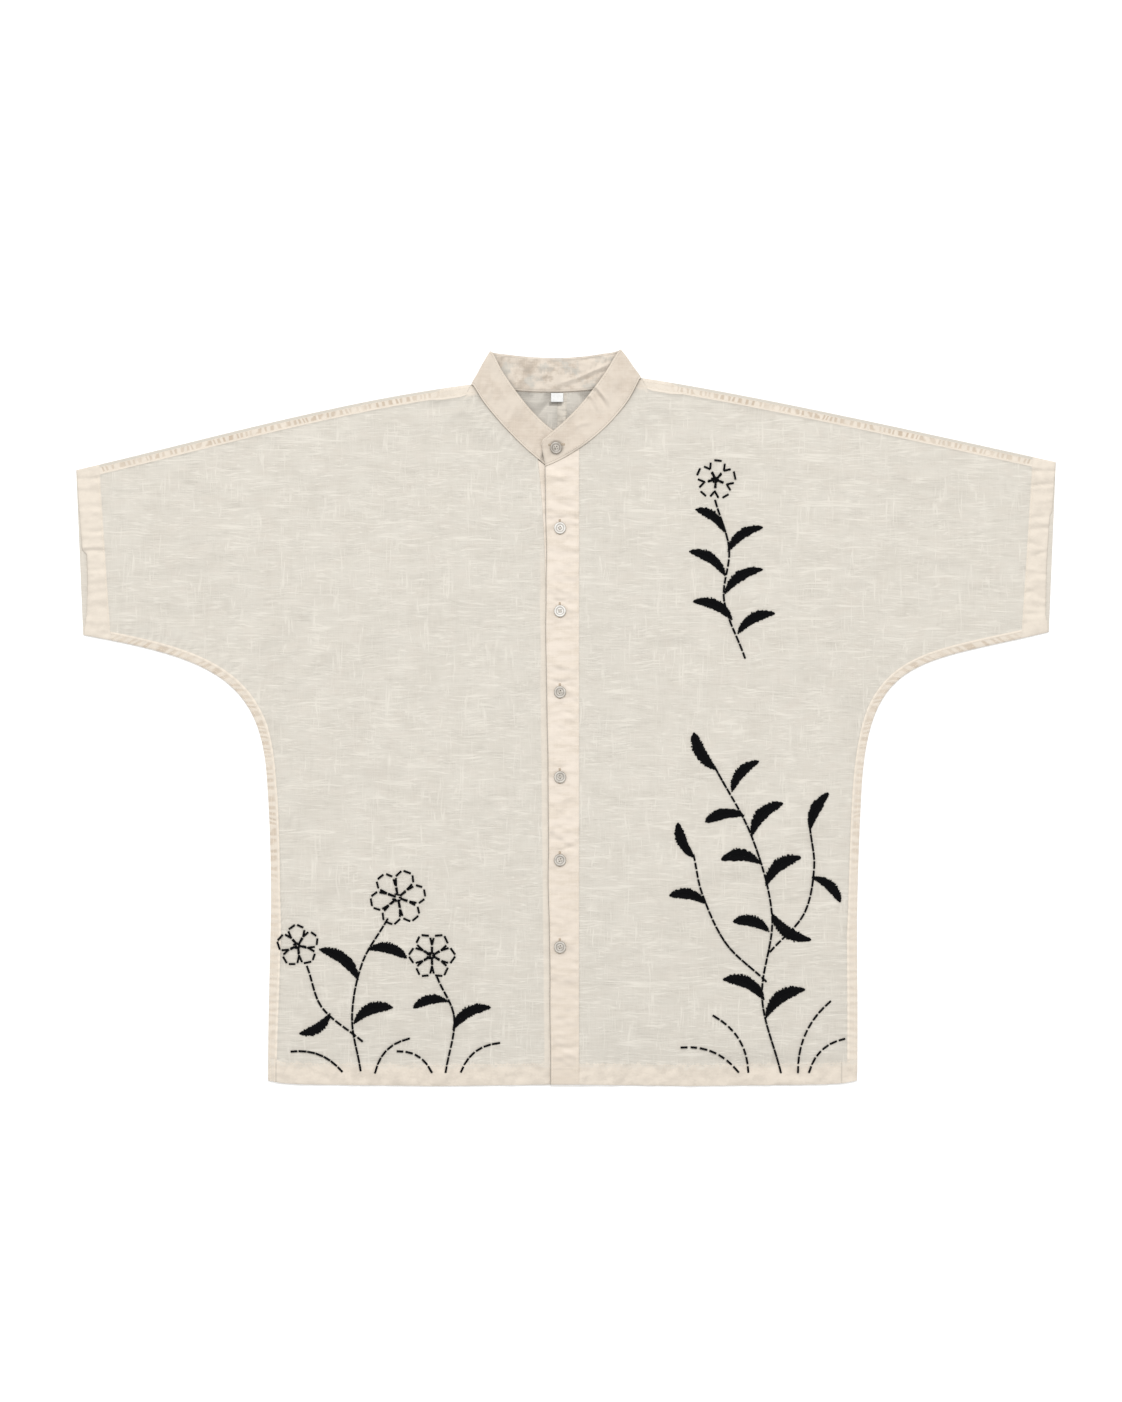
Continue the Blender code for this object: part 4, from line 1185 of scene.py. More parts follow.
def collar_layer(name, outer, material):
    """The outer or inner cloth of the collar band."""
    seam, top, normal, kind = collar_sections()
    width = np.linalg.norm(top - seam, axis=1)
    edge_steps = np.array([0.0, 0.35, 0.8, 1.3, 1.7, 2.1, 2.6, 3.4])
    inner_steps = 32
    fraction = []
    for w in width:
        inner = np.linspace(edge_steps[-1] / w, 1.0 - edge_steps[-1] / w, inner_steps)[1:-1]
        fraction.append(np.concatenate([edge_steps / w, inner, 1.0 - edge_steps[::-1] / w]))
    fraction = np.array(fraction)
    across = (top - seam) / width[:, None]
    if outer:
        seam = seam - across * 0.45
    points = seam[:, None, :] + (top - seam)[:, None, :] * fraction[:, :, None]
    middle = (seam + top) / 2
    run = np.concatenate([[0.0], np.cumsum(np.linalg.norm(np.diff(middle, axis=0), axis=1))])
    from_seam = fraction * width[:, None]
    edge = np.minimum(from_seam, (1.0 - fraction) * width[:, None])
    u = run[:, None] * np.ones_like(fraction)
    x, y = points[:, :, 0], points[:, :, 1]
    part = kind[:, None] * np.ones_like(x)

    # Stitch line, rounded edge, small dents and pressed creases
    stitched = -0.26 * bell(edge - 2.1, 0.4) - 0.5 * bell(edge, 0.5)
    relief = 0.36 * soft_noise(u, from_seam, 13.0, 21) * smooth(edge / 8.0)
    relief = relief + 0.14 * soft_noise(u, from_seam * 0.4, 4.6, 22)
    for number, table, gain in ((UNDERLAP, "right", 1.6), (BACK, "back", 1.15), (OVERLAP, "left", 1.9)):
        folds = gain * crease_field(x, y, COLLAR_CREASES[table]) * smooth(edge / 3.0)
        relief = relief + np.where(part == number, folds, 0.0)
    if not outer:
        crumple = 0.4 * soft_noise(u, from_seam * 0.8, 11.0, 23) + 0.3 * soft_noise(u, from_seam, 5.0, 24)
        relief = relief + np.where(part == BACK, crumple * smooth(edge / 4.0), 0.0)
    hidden = (part == BACK) if outer else (part != BACK)
    relief = np.where(hidden, relief * 0.3, relief)
    if outer:
        relief = np.where(normal[:, None, 2] < 0.0, np.minimum(relief, 0.1), relief)
    _, button_x, button_y, _ = BUTTONS[0]
    from_button = np.hypot(x - button_x, y - button_y)
    relief = relief * np.where(part == OVERLAP, smooth((from_button - 4.0) / 7.0), 1.0)
    thick = COLLAR_HALF - 0.12 + np.maximum(stitched + relief, 0.35 - COLLAR_HALF)
    half_gap = 0.17
    facing = 1.0 if outer else -1.0
    near = points + normal[:, None, :] * (facing * half_gap)
    far = points + normal[:, None, :] * (facing * thick)[:, :, None]
    flat = (part == UNDERLAP) | (part == BACK) | (part == OVERLAP)
    crease_light = np.where(flat, facing_light(x, y, relief, 4.5), 0.0)
    # Painted shade along the cloth's edges, and on the outer cloth round the button and in the notch, on the
    # lining along its seam, under the folds and in spots
    painted_shade = 0.26 * bell(edge, 0.4)
    if outer:
        painted_shade = painted_shade + outer_shade(x, y, part, from_button)
    else:
        painted_shade = painted_shade + lining_shade(x, y, from_seam) * (part == BACK)
    fields = {"edge": edge * MM, "crease_light": np.clip(crease_light, -1.0, 1.0), "painted_shade": np.clip(painted_shade, 0.0, 0.9)}
    return shell(name, far, near, material, fields)


# Plackets

def placket(name, over, material):
    """One front band, from the neck seam to the hem."""
    rows, hem_rows, columns = 400, 26, 30
    straight_top = 246.0
    hem_fold = -351.0
    seam = shifted(front_seam("left"), LAYER_GAP) if over else shifted(front_seam("right"), -LAYER_GAP)
    edge = bezier("overlap_edge" if over else "underlap_edge")[::-1]
    right = PLACKET_EDGE_X if over else 9.5
    rim = np.array([0.0, 0.3, 0.7, 1.2])
    hem_top = HEM_Y + HEM_BAND
    heights = np.concatenate([np.linspace(straight_top, hem_top + 0.6, rows),
                              np.linspace(hem_top, HEM_Y, hem_rows)])
    left = np.interp(heights, edge[:, 1], edge[:, 0]) + 0.02
    span = right - left
    share = []
    for s in span:
        inner = np.linspace(rim[-1] / s, 1 - rim[-1] / s, columns)[1:-1]
        share.append(np.concatenate([rim / s, inner, 1 - rim[::-1] / s]))
    share = np.array(share)
    x = left[:, None] + span[:, None] * share
    y = heights[:, None] * np.ones_like(x)

    # Rows that lead from the slanted neck seam to the first level row
    order = np.argsort(seam[:, 0])
    top_y = np.interp(x[0], seam[order, 0], seam[order, 1])
    blend = np.linspace(1.0, 0.0, 9)[:-1, None]
    high_y = top_y[None, :] * blend + straight_top * (1.0 - blend)
    lean = np.interp(high_y, edge[:, 1], edge[:, 0]) + 0.02 - left[0]
    x = np.vstack([x[0] + lean * (1.0 - share[0]), x])
    y = np.vstack([high_y, y])
    base = placket_base(y) if over else np.full_like(y, FRONT_BASE)
    from_left = x - np.interp(y, edge[:, 1], edge[:, 0])
    from_edge = np.minimum(from_left, right - x)

    # Small level creases, calm round each button, with a trough above it
    slanted = y + 0.2 * x + 1.6 * soft_noise(x, y, 18.0, 35)
    relief = 0.36 * soft_noise(x * 0.25, slanted, 9.0, 31)
    relief = relief + 0.42 * soft_noise(x * 0.5 + 40.0, slanted, 4.6, 32)
    relief = relief + small_creases(x, y, 36, 90, ((-18.0, 12.0), (-340.0, 240.0))) * 0.9
    relief = relief * (0.75 + 0.5 * soft_noise(x, y, 40.0, 33)) * smooth(from_edge / 3.0 + 0.3)
    for _, bx, by, _ in BUTTONS[1:]:
        away = np.hypot(x - bx, y - by)
        relief = relief * smooth((away - 3.0) / 8.0)
        pull = bell(y - by - 9.5 - 0.2 * np.abs(x - bx), 1.6) * bell(x - bx, 9.0)
        relief = relief - 0.5 * pull * smooth((away - 5.0) / 3.0)
    if over:
        x = x + 0.8 * soft_noise(x * 0.0, y, 42.0, 34) * smooth(1.0 - from_left / 20.0)
    hem = np.where(y <= hem_fold, 1.0, 0.0)
    rounding = -0.45 * bell(from_left, 0.55) - 0.4 * bell(y - HEM_Y, 0.9)
    top = np.maximum(base + 1.1 + relief * 0.85 + 0.4 * hem + rounding, base + THIN_CLOTH)

    # Painted shade at the hem's fold line and above it, a painted highlight on the fold at the neck, and a
    # painted shadow line along the overlap's left edge
    crease_light = facing_light(x, y, relief, 4.0)
    crease_light = crease_light - 0.8 * bell(y - hem_fold + 0.5, 0.8) * (x < 7.0)
    crease_light = crease_light - 0.5 * bell(y - hem_fold - 9.0, 4.5) * smooth((from_edge - 1.0) / 4.0)
    crease_light = crease_light + 1.2 * bell(x + 12.0, 9.0) * bell(y - straight_top, 5.0)
    painted_shade = 0.8 * bell(from_left, 0.75) if over else np.zeros_like(x)
    fields = {"edge": np.full_like(x, 0.01), "hem": hem, "crease_light": np.clip(crease_light, -1.0, 1.0), "painted_shade": painted_shade}
    made = shell(name, np.dstack([x, y, top]), np.dstack([x, y, base]), material, fields)
    made["cut_area"] = surface_area(x, y)
    return made


# Small parts

def size_tab(material):
    """The bare woven tab below the back neck seam, rising towards its free end."""
    rows, columns = 12, 14
    share = np.linspace(0.0, 1.0, rows + 1)[:, None]
    across = np.linspace(0.0, 1.0, columns + 1)[None, :]
    x = mix(-15.0, -2.7, across) + 0.0 * share
    y = mix(324.6, 315.5, share) + 0.0 * across
    z = FRONT_BASE + 1.3 * np.sin(share * math.pi / 2) ** 2 + 0.25 * np.sin(across * math.pi) * share
    return shell("woven_tab", np.dstack([x, y, z + 0.7]), np.dstack([x, y, z]), material)


def ring_of(radius, height, sides):
    """Points evenly round the upright axis."""
    angles = [2 * math.pi * k / sides for k in range(sides)]
    return [(radius * math.cos(a), radius * math.sin(a), height) for a in angles]


def lathe(profile, sides):
    """A turned blank as a bmesh in millimetres, from (radius, height) pairs."""
    mesh = bmesh.new()
    rings = [[mesh.verts.new(p) for p in ring_of(radius, height, sides if radius else 1)]
             for radius, height in profile]
    for lower, upper in zip(rings, rings[1:]):
        for k in range(sides):
            n = (k + 1) % sides
            if len(lower) == 1:
                mesh.faces.new((lower[0], upper[n], upper[k]))
            elif len(upper) == 1:
                mesh.faces.new((lower[k], lower[n], upper[0]))
            else:
                mesh.faces.new((lower[k], lower[n], upper[n], upper[k]))
    bmesh.ops.recalc_face_normals(mesh, faces=mesh.faces)
    return mesh


def object_from(mesh, name, material=None):
    """Turns a finished bmesh in millimetres into an object in metres."""
    data = bpy.data.meshes.new(name)
    mesh.to_mesh(data)
    mesh.free()
    data.transform(Matrix.Scale(MM, 4))
    return new_object(name, data, material)


# Half of a button's section, from its underside over the rim to its middle: radius, height
BUTTON_PROFILE = ((0.0, 0.0), (4.6, 0.0), (5.3, 0.15), (5.8, 0.55), (6.0, 1.1), (5.95, 1.6), (5.7, 2.1),
                  (5.3, 2.35), (4.8, 2.36), (4.4, 2.2), (4.1, 1.92), (3.85, 1.74), (3.4, 1.68), (2.5, 1.72),
                  (1.2, 1.66), (0.0, 1.66))
HOLE_RADIUS = 0.6
HOLE_CENTRE = 1.55


def pearl_button(name, x, y, turn, base, material):
    """A four-hole button with a rolled rim and a dished middle."""
    blank = object_from(lathe(BUTTON_PROFILE, 64), name, material)
    drills = bmesh.new()
    for k in range(4):
        angle = math.pi / 4 + k * math.pi / 2
        made = bmesh.ops.create_cone(drills, cap_ends=True, segments=20, depth=8.0,
                                     radius1=HOLE_RADIUS, radius2=HOLE_RADIUS)
        place = Vector((math.cos(angle), math.sin(angle), 0)) * HOLE_CENTRE
        bmesh.ops.translate(drills, verts=made["verts"], vec=place)
    cutter = object_from(drills, name + "_drills")
    cut = blank.modifiers.new("holes", "BOOLEAN")
    cut.operation = "DIFFERENCE"
    cut.solver = "EXACT"
    cut.object = cutter
    graph = bpy.context.evaluated_depsgraph_get()
    holed = bpy.data.meshes.new_from_object(blank.evaluated_get(graph))
    blank.modifiers.clear()
    blank.data = holed
    bpy.data.objects.remove(cutter, do_unlink=True)
    ring = holed.attributes.new("ring", "FLOAT", "POINT")
    ring.data.foreach_set("value", [math.hypot(v.co.x, v.co.y) for v in holed.vertices])
    turned = Matrix.Rotation(math.radians(turn), 4, "Z")
    holed.transform(Matrix.Translation(Vector((x, y, base)) * MM) @ turned)
    for face in holed.polygons:
        face.use_smooth = True
    holed.set_sharp_from_angle(angle=math.radians(50))
    return blank


def button_thread(mesh, x, y, turn, base):
    """Two bars of three threads over the middle of a button and down its holes."""
    place = Matrix.Translation(Vector((x, y, base))) @ Matrix.Rotation(math.radians(turn + 45.0), 4, "Z")
    hole = 1.05
    for side in (-1, 1):
        for lane in (-0.34, 0.0, 0.34):
            path = []
            for k in range(9):
                t = -1.0 + 2.0 * k / 8
                height = 1.8 + 0.4 * (1.0 - t * t) if abs(t) < 0.99 else 0.9
                path.append(place @ Vector((1.12 * t, side * hole + lane, height)))
            tube(mesh, path, 0.24, 6)


def tube(mesh, path, radius, sides):
    """A closed round thread along a path, in a bmesh."""
    rings = []
    for i, point in enumerate(path):
        ahead = path[min(i + 1, len(path) - 1)] - path[max(i - 1, 0)]
        side = ahead.cross(Vector((0.01, 0.02, 1.0))).normalized()
        up = side.cross(ahead).normalized()
        rings.append([mesh.verts.new(point + (side * math.cos(a) + up * math.sin(a)) * radius)
                      for a in (2 * math.pi * k / sides for k in range(sides))])
    for lower, upper in zip(rings, rings[1:]):
        for k in range(sides):
            n = (k + 1) % sides
            mesh.faces.new((lower[k], lower[n], upper[n], upper[k]))
    mesh.faces.new(rings[0][::-1])
    mesh.faces.new(rings[-1])


# Stitches, laid by Geometry Nodes along curves

def new_thread_tree(name, values, seed):
    """A tree that turns curves into threads, with its sockets: the graph and the group's inputs."""
    tree = bpy.data.node_groups.new(name, "GeometryNodeTree")
    face = tree.interface
    face.new_socket("Geometry", in_out="INPUT", socket_type="NodeSocketGeometry")
    for label, value in values:
        face.new_socket(label, in_out="INPUT", socket_type="NodeSocketFloat").default_value = value
    face.new_socket("Seed", in_out="INPUT", socket_type="NodeSocketInt").default_value = seed
    face.new_socket("Material", in_out="INPUT", socket_type="NodeSocketMaterial")
    face.new_socket("Geometry", in_out="OUTPUT", socket_type="NodeSocketGeometry")
    graph = Graph(tree)
    return graph, graph.add("NodeGroupInput").outputs


def arched_thread(graph, inside, start, end, middle_x, sides):
    """One thread between two points, arched in its middle."""
    top = graph.vector({0: middle_x, 2: graph.times(inside["Arch"], 2.0)})
    arch = graph.add("GeometryNodeCurveQuadraticBezier",
                     {"Resolution": 4, "Start": start, "Middle": top, "End": end}).outputs[0]
    ring = graph.add("GeometryNodeCurvePrimitiveCircle",
                     {"Resolution": sides, "Radius": inside["Thread Radius"]}).outputs[0]
    return graph.add("GeometryNodeCurveToMesh",
                     {"Curve": arch, "Profile Curve": ring, "Fill Caps": True}).outputs[0]


def pitched_points(graph, inside, curve):
    """Points at a set pitch along a curve, and the rotation that faces each along it."""
    points = graph.add("GeometryNodeCurveToPoints", {"Curve": curve, "Length": inside["Pitch"]},
                       mode="LENGTH").outputs
    turn = graph.add("FunctionNodeAlignRotationToVector", {"Vector": points["Tangent"]},
                     axis="X", pivot_axis="Z").outputs[0]
    return points["Points"], turn


def random_share(graph, inside, low, high):
    """A random factor for every thread."""
    return graph.add("FunctionNodeRandomValue", {2: low, 3: high, "Seed": inside["Seed"]},
                     data_type="FLOAT").outputs[1]


def place_threads(graph, points, thread, turn, angle, reach):
    """A thread on every point, turned by a further angle and stretched along itself."""
    local = graph.add("FunctionNodeRotateRotation", {0: turn, 1: graph.vector({2: angle})},
                      rotation_space="LOCAL").outputs[0]
    return graph.add("GeometryNodeInstanceOnPoints",
                     {"Points": points, "Instance": thread, "Rotation": local,
                      "Scale": graph.vector({0: reach, 1: 1.0, 2: 1.0})}).outputs[0]


def finish_threads(graph, inside, placed):
    """Makes placed threads real and dyes them."""
    real = graph.add("GeometryNodeRealizeInstances", {0: placed}).outputs[0]
    dyed = graph.add("GeometryNodeSetMaterial", {"Geometry": real, "Material": inside["Material"]}).outputs[0]
    graph.feed(graph.add("NodeGroupOutput").inputs[0], dyed)
    return graph.tree


def make_stitch_tree():
    """Thread stitches of a set length at a set pitch along every spline of a curve."""
    graph, inside = new_thread_tree("stitch run", (("Pitch", 0.004), ("Stitch Length", 0.003),
                                                   ("Thread Radius", 0.0003), ("Arch", 0.0003),
                                                   ("Turn", 0.0)), 5)
    half = graph.times(inside["Stitch Length"], 0.5)
    start, end = graph.vector({0: graph.times(half, -1.0)}), graph.vector({0: half})
    thread = arched_thread(graph, inside, start, end, 0.0, 5)
    points, turn = pitched_points(graph, inside, inside["Geometry"])
    uneven = random_share(graph, inside, 0.86, 1.1)
    placed = place_threads(graph, points, thread, turn, inside["Turn"], uneven)
    return finish_threads(graph, inside, placed)


def make_satin_tree():
    """Satin stitches that lean out from a leaf's midrib, as long as the spline's radius says."""
    graph, inside = new_thread_tree("satin leaf", (("Pitch", 0.0011), ("Lean", 0.9),
                                                   ("Thread Radius", 0.0006), ("Arch", 0.0005)), 7)
    thread = arched_thread(graph, inside, (0, 0, 0), (1, 0, 0), 0.5, 6)
    radius = graph.add("GeometryNodeInputRadius").outputs[0]
    stored = graph.add("GeometryNodeStoreNamedAttribute",
                       {"Geometry": inside["Geometry"], "Name": "reach", "Value": radius},
                       data_type="FLOAT", domain="POINT").outputs[0]
    points, turn = pitched_points(graph, inside, stored)
    reach = graph.add("GeometryNodeInputNamedAttribute", {"Name": "reach"}, data_type="FLOAT").outputs[0]
    reach = graph.times(reach, random_share(graph, inside, 0.82, 1.12))
    join = graph.add("GeometryNodeJoinGeometry")
    for way in (1.0, -1.0):
        lean = graph.times(inside["Lean"], way)
        graph.feed(join.inputs[0], place_threads(graph, points, thread, turn, lean, reach))
    return finish_threads(graph, inside, join.outputs[0])


def grown(name, lines, tree, values, radii=None):
    """A plain mesh grown by a node tree on splines through the given points, in metres."""
    curve = bpy.data.curves.new(name + "_path", "CURVE")
    curve.dimensions = "3D"
    for k, line in enumerate(lines):
        spline = curve.splines.new("POLY")
        spline.points.add(len(line) - 1)
        for i, point in enumerate(line):
            spline.points[i].co = (*point, 1.0)
            if radii is not None:
                spline.points[i].radius = radii[k][i]
    carrier = new_object(name + "_path", curve)
    work = carrier.modifiers.new("grow", "NODES")
    work.node_group = tree
    for item in tree.interface.items_tree:
        if item.in_out == "INPUT" and item.name in values:
            work[item.identifier] = values[item.name]
    graph = bpy.context.evaluated_depsgraph_get()
    data = bpy.data.meshes.new_from_object(carrier.evaluated_get(graph))
    data.name = name
    bpy.data.objects.remove(carrier, do_unlink=True)
    for face in data.polygons:
        face.use_smooth = True
    return new_object(name, data)


def lay_on(points, surfaces, lift):
    """Points (x, y) in millimetres dropped from above on the first cloth they meet, in metres."""
    result = []
    for x, y in points:
        start = Vector((x * MM, y * MM, 0.05))
        hits = [surface.ray_cast(start, Vector((0, 0, -1)))[0] for surface in surfaces]
        heights = [hit.z for hit in hits if hit is not None]
        if heights:
            result.append((x * MM, y * MM, max(heights) + lift * MM))
    return result


def surface_of(piece):
    """A piece's surface, for points to be dropped on."""
    return BVHTree.FromObject(piece, bpy.context.evaluated_depsgraph_get())


# Embroidery: a generic garden of leafy stems and open flowers in black thread

# Stems: points (x, y) from the root up
STEMS = (
    ((214, -352), (196, -280), (206, -200), (186, -120), (150, -52)),
    ((206, -232), (238, -196), (248, -150), (244, -112)),
    ((198, -262), (160, -226), (136, -176), (128, -140)),
    ((-206, -350), (-214, -300), (-204, -246), (-180, -204)),
    ((-206, -322), (-244, -290), (-258, -252)),
    ((-120, -352), (-112, -300), (-128, -262)),
    ((178, 62), (158, 118), (163, 168), (150, 214)),
)

# Satin leaves: root x, root y, tip x, tip y, half width, bend
LEAVES = (
    (200, -300, 238, -272, 7.5, 0.16), (198, -282, 158, -262, 7.5, -0.16),
    (203, -214, 168, -204, 7.0, -0.14), (206, -196, 244, -222, 7.0, -0.14),
    (200, -168, 234, -140, 7.5, 0.16), (194, -146, 156, -142, 7.5, -0.16),
    (186, -118, 216, -86, 7.5, 0.16), (178, -98, 140, -104, 7.0, -0.12),
    (166, -74, 192, -44, 6.5, 0.14), (150, -52, 128, -16, 7.5, 0.1),
    (246, -160, 274, -184, 6.0, 0.14), (244, -112, 262, -76, 6.5, 0.1),
    (140, -186, 104, -178, 6.5, -0.14), (128, -140, 112, -106, 6.5, 0.1),
    (-212, -306, -174, -290, 7.0, 0.16), (-208, -262, -246, -232, 7.0, -0.14),
    (-198, -232, -160, -240, 6.5, 0.14), (-236, -296, -266, -316, 6.0, 0.14),
    (-113, -312, -76, -290, 6.5, 0.16), (-118, -284, -152, -290, 6.0, -0.14),
    (172, 84, 208, 104, 6.5, 0.14), (166, 98, 128, 116, 6.5, -0.14),
    (159, 124, 196, 148, 6.5, 0.14), (159, 142, 124, 166, 6.5, -0.14),
    (162, 166, 196, 190, 6.0, 0.14), (158, 186, 130, 208, 6.0, -0.14),
)

# Flowers in running stitch: x, y, petal length, petals, turn in degrees
FLOWERS = (
    (-168, -180, 27, 6, 10),
    (-268, -228, 20, 5, 24),
    (-134, -238, 22, 6, 0),
    (150, 238, 19, 5, 12),
)

# Grass blades and small sprigs along the hem in running stitch: x, y, end x, end y, bow
BLADES = (
    (232, -352, 262, -286, 8), (244, -352, 276, -322, 6),
    (182, -352, 150, -300, -8), (170, -352, 118, -330, -7),
    (-190, -352, -160, -322, 6), (-226, -352, -272, -334, -6),
    (-104, -352, -70, -326, 6), (-136, -352, -166, -334, -5),
)


def curve_through(points, step=2.0):
    """A smooth line through the given points, at even steps."""
    p = np.array(points, float)
    t = run_of(p)
    last = len(p) - 1
    fine = []
    for i in range(last):
        before, after = max(i - 1, 0), min(i + 2, last)
        m0 = (p[i + 1] - p[before]) / (t[i + 1] - t[before])
        m1 = (p[after] - p[i]) / (t[after] - t[i])
        gap = t[i + 1] - t[i]
        for s in np.linspace(0.0, 1.0, max(3, int(gap / step)), endpoint=False):
            fine.append(p[i] * (2 * s ** 3 - 3 * s ** 2 + 1) + m0 * gap * (s ** 3 - 2 * s ** 2 + s)
                        + p[i + 1] * (-2 * s ** 3 + 3 * s ** 2) + m1 * gap * (s ** 3 - s ** 2))
    fine.append(p[-1])
    return np.array(fine)


def bowed(x0, y0, x1, y1, bow, count=18):
    """A line between two points, bowed to its left."""
    start, end = np.array((x0, y0), float), np.array((x1, y1), float)
    t = np.linspace(0.0, 1.0, count)[:, None]
    across = np.array((-(end - start)[1], (end - start)[0]))
    across = across / np.hypot(*across)
    return start + (end - start) * t + across * bow * 4 * t * (1 - t)


def petals(x, y, reach, count, turn):
    """Outlines of a flower's petals, each open towards the flower's middle."""
    lines = []
    for k in range(count):
        middle = math.radians(turn) + 2 * math.pi * k / count
        spread = math.pi / count * 0.92
        outline = []
        for t in np.linspace(0.0, 1.0, 26):
            angle = middle + spread * math.sin((t - 0.5) * math.pi)
            radius = reach * (0.24 + 0.76 * math.sin(t * math.pi) ** 0.55)
            outline.append((x + radius * math.cos(angle), y + radius * math.sin(angle)))
        lines.append(np.array(outline))
    return lines


# Cloth, thread and button materials, with tones as screen values from 0 to 255

# The backs' tones are darker than the fronts' as painted shade, since the back shows mostly inside the neck,
# in the collar's shade
shaded_back_tones = ((208, 202, 192), (222, 216, 205), (234, 225, 211), (214, 204, 192), (200, 184, 164))
front_tones = ((215, 208.5, 196.5), (224, 218.5, 207.5), (238, 227, 212), (224, 213, 201), (206, 188, 167))
front_cloth = voile_material("front voile", front_tones)
shaded_back_cloth = voile_material("back voile", shaded_back_tones, with_seam=True)
band_cloth = doubled_material("placket cotton", (240, 228, 214), (224, 211, 194), (30.0, 120.0, 30.0), 0.8)
collar_cloth = doubled_material("collar cotton", (226, 214, 199), (209, 194, 177), (34.0, 34.0, 34.0), 0.7)
lining_cloth = doubled_material("collar lining", (228, 216, 201), (196, 181, 164), (60.0, 70.0, 60.0), 1.0,
                                (200, 197, 188))
tab_cloth = doubled_material("woven tab", (242, 242, 240), (226, 226, 224), (300.0, 300.0, 300.0))
cream_thread = thread_material("cream thread", (240, 229, 213))
button_floss = thread_material("button thread", (206, 199, 188))
black_thread = thread_material("black floss", (6, 6, 8), 0.75, 0.08)
hole_thread = thread_material("buttonhole thread", (203, 186, 165))
pearl = pearl_material("button pearl", (234, 229, 221), (254, 251, 245), (120, 112, 101))
# Darker copies of the same pearl as painted shade: one for the lower buttons, where the light falls off down
# the shirt, and a darker one for the collar's button
shaded_pearl = pearl_material("shaded button pearl", (198, 191, 181), (226, 220, 210), (112, 104, 95))
darker_shaded_pearl = pearl_material("darker shaded button pearl", (176, 168, 157), (210, 203, 193), (112, 104, 95))

back_right = wear(panel("back_right_cloth", "right", False, shaded_back_cloth, 0.5), "cotton_back", "back_right")
back_left = wear(panel("back_left_cloth", "left", False, shaded_back_cloth, 0.5), "cotton_back", "back_left")
front_right = wear(panel("front_right_cloth", "right", True, front_cloth, 1.0), "cotton_front", "front_right")
front_left = wear(panel("front_left_cloth", "left", True, front_cloth, 1.0), "cotton_front", "front_left")
under_band = wear(placket("underlap_band", False, band_cloth), "cotton_band", "placket_under")
over_band = wear(placket("overlap_band", True, band_cloth), "cotton_band", "placket_over")
collar_out = wear(collar_layer("collar_outer_cloth", True, collar_cloth), "cotton_collar", "collar_outer")
collar_in = wear(collar_layer("collar_inner_cloth", False, lining_cloth), "cotton_collar", "collar_inner")
tab = wear(size_tab(tab_cloth), "woven_tab", "size_tab")

threads = bmesh.new()
for name, x, y, turn in BUTTONS:
    on_collar = name == "button_1"
    base = float(COLLAR_OVERLAP + COLLAR_HALF + LAYER_GAP if on_collar else placket_base(y) + 1.4)
    # The lower buttons and the collar's button take the darker copies of the pearl, as painted shade
    shell_kind = darker_shaded_pearl if on_collar else pearl if y > 60.0 else shaded_pearl
    wear(pearl_button("pearl_" + name, x, y, turn, base, shell_kind), "button_pearl", name)
    button_thread(threads, x, y, turn, base)
bmesh.ops.recalc_face_normals(threads, faces=threads.faces)
wear(object_from(threads, "button_threads", button_floss), None)

stitch_tree = make_stitch_tree()
satin_tree = make_satin_tree()

# Sizes of the stitches, in metres
MACHINE_STITCH = {"Pitch": 0.003, "Stitch Length": 0.0023, "Thread Radius": 0.00019, "Arch": 0.00012,
                  "Material": cream_thread}
BUTTONHOLE_STITCH = {"Pitch": 0.00042, "Stitch Length": 0.0022, "Thread Radius": 0.0002, "Arch": 0.0003,
                     "Turn": math.pi / 2, "Material": hole_thread}
RUNNING_STITCH = {"Pitch": 0.0084, "Stitch Length": 0.0074, "Thread Radius": 0.00115, "Arch": 0.0003,
                  "Material": black_thread}
SEED_STITCH = {"Pitch": 0.003, "Stitch Length": 0.0024, "Thread Radius": 0.0009, "Arch": 0.0006,
               "Material": black_thread}
SATIN_STITCH = {"Pitch": 0.0012, "Lean": 0.75, "Thread Radius": 0.0007, "Arch": 0.0004,
                "Material": black_thread}


# Topstitching

def sewing_lines(side):
    """Paths of one front's topstitching: the sewn bands, the cuff and the hem."""
    way = 1.0 if side == "right" else -1.0
    stitch_inset = 1.6
    underarm, high, low = (bezier(side + part) for part in ("_underarm", "_side_high", "_side_low"))
    outline = np.vstack([underarm, high[1:], low[1:]])
    width = np.interp(run_of(outline), *zip(*SIDE_WIDTH[side]))
    step = tangents(outline)
    normal = np.stack([-step[:, 1], step[:, 0]], axis=1) * way
    keep = run_of(outline) > CUFF_BAND
    lines = [(outline + normal * (width * part)[:, None])[keep] for part in (0.3, 0.8)]
    shoulder = bezier(side + "_shoulder")
    keep = run_of(shoulder) > CUFF_BAND
    for depth in (3.0, SHOULDER_BAND - stitch_inset):
        lines.append(shifted(shoulder, -depth * way)[keep])
    cuff = np.linspace(underarm[0], shoulder[0], 60)[3:-3]
    cuff_width = CUFF_BAND - stitch_inset
    cuff[:, 0] += way * np.linspace(cuff_width, cuff_width - CUFF_TAPER, len(cuff))
    lines.append(cuff)
    centre_x = -20.0 if side == "right" else PLACKET_EDGE_X + 1.0
    side_x, side_y = low[-1]
    hem_x = np.linspace(side_x + way * 8.0, centre_x, 80)
    share = np.clip((hem_x - side_x) / (centre_x - side_x), 0.0, 1.0)
    level = mix(side_y, HEM_Y, share) - np.interp(share, *zip(*HEM_DROP)) + HEM_BAND - stitch_inset
    lines.append(np.stack([hem_x, level], axis=1))
    return lines


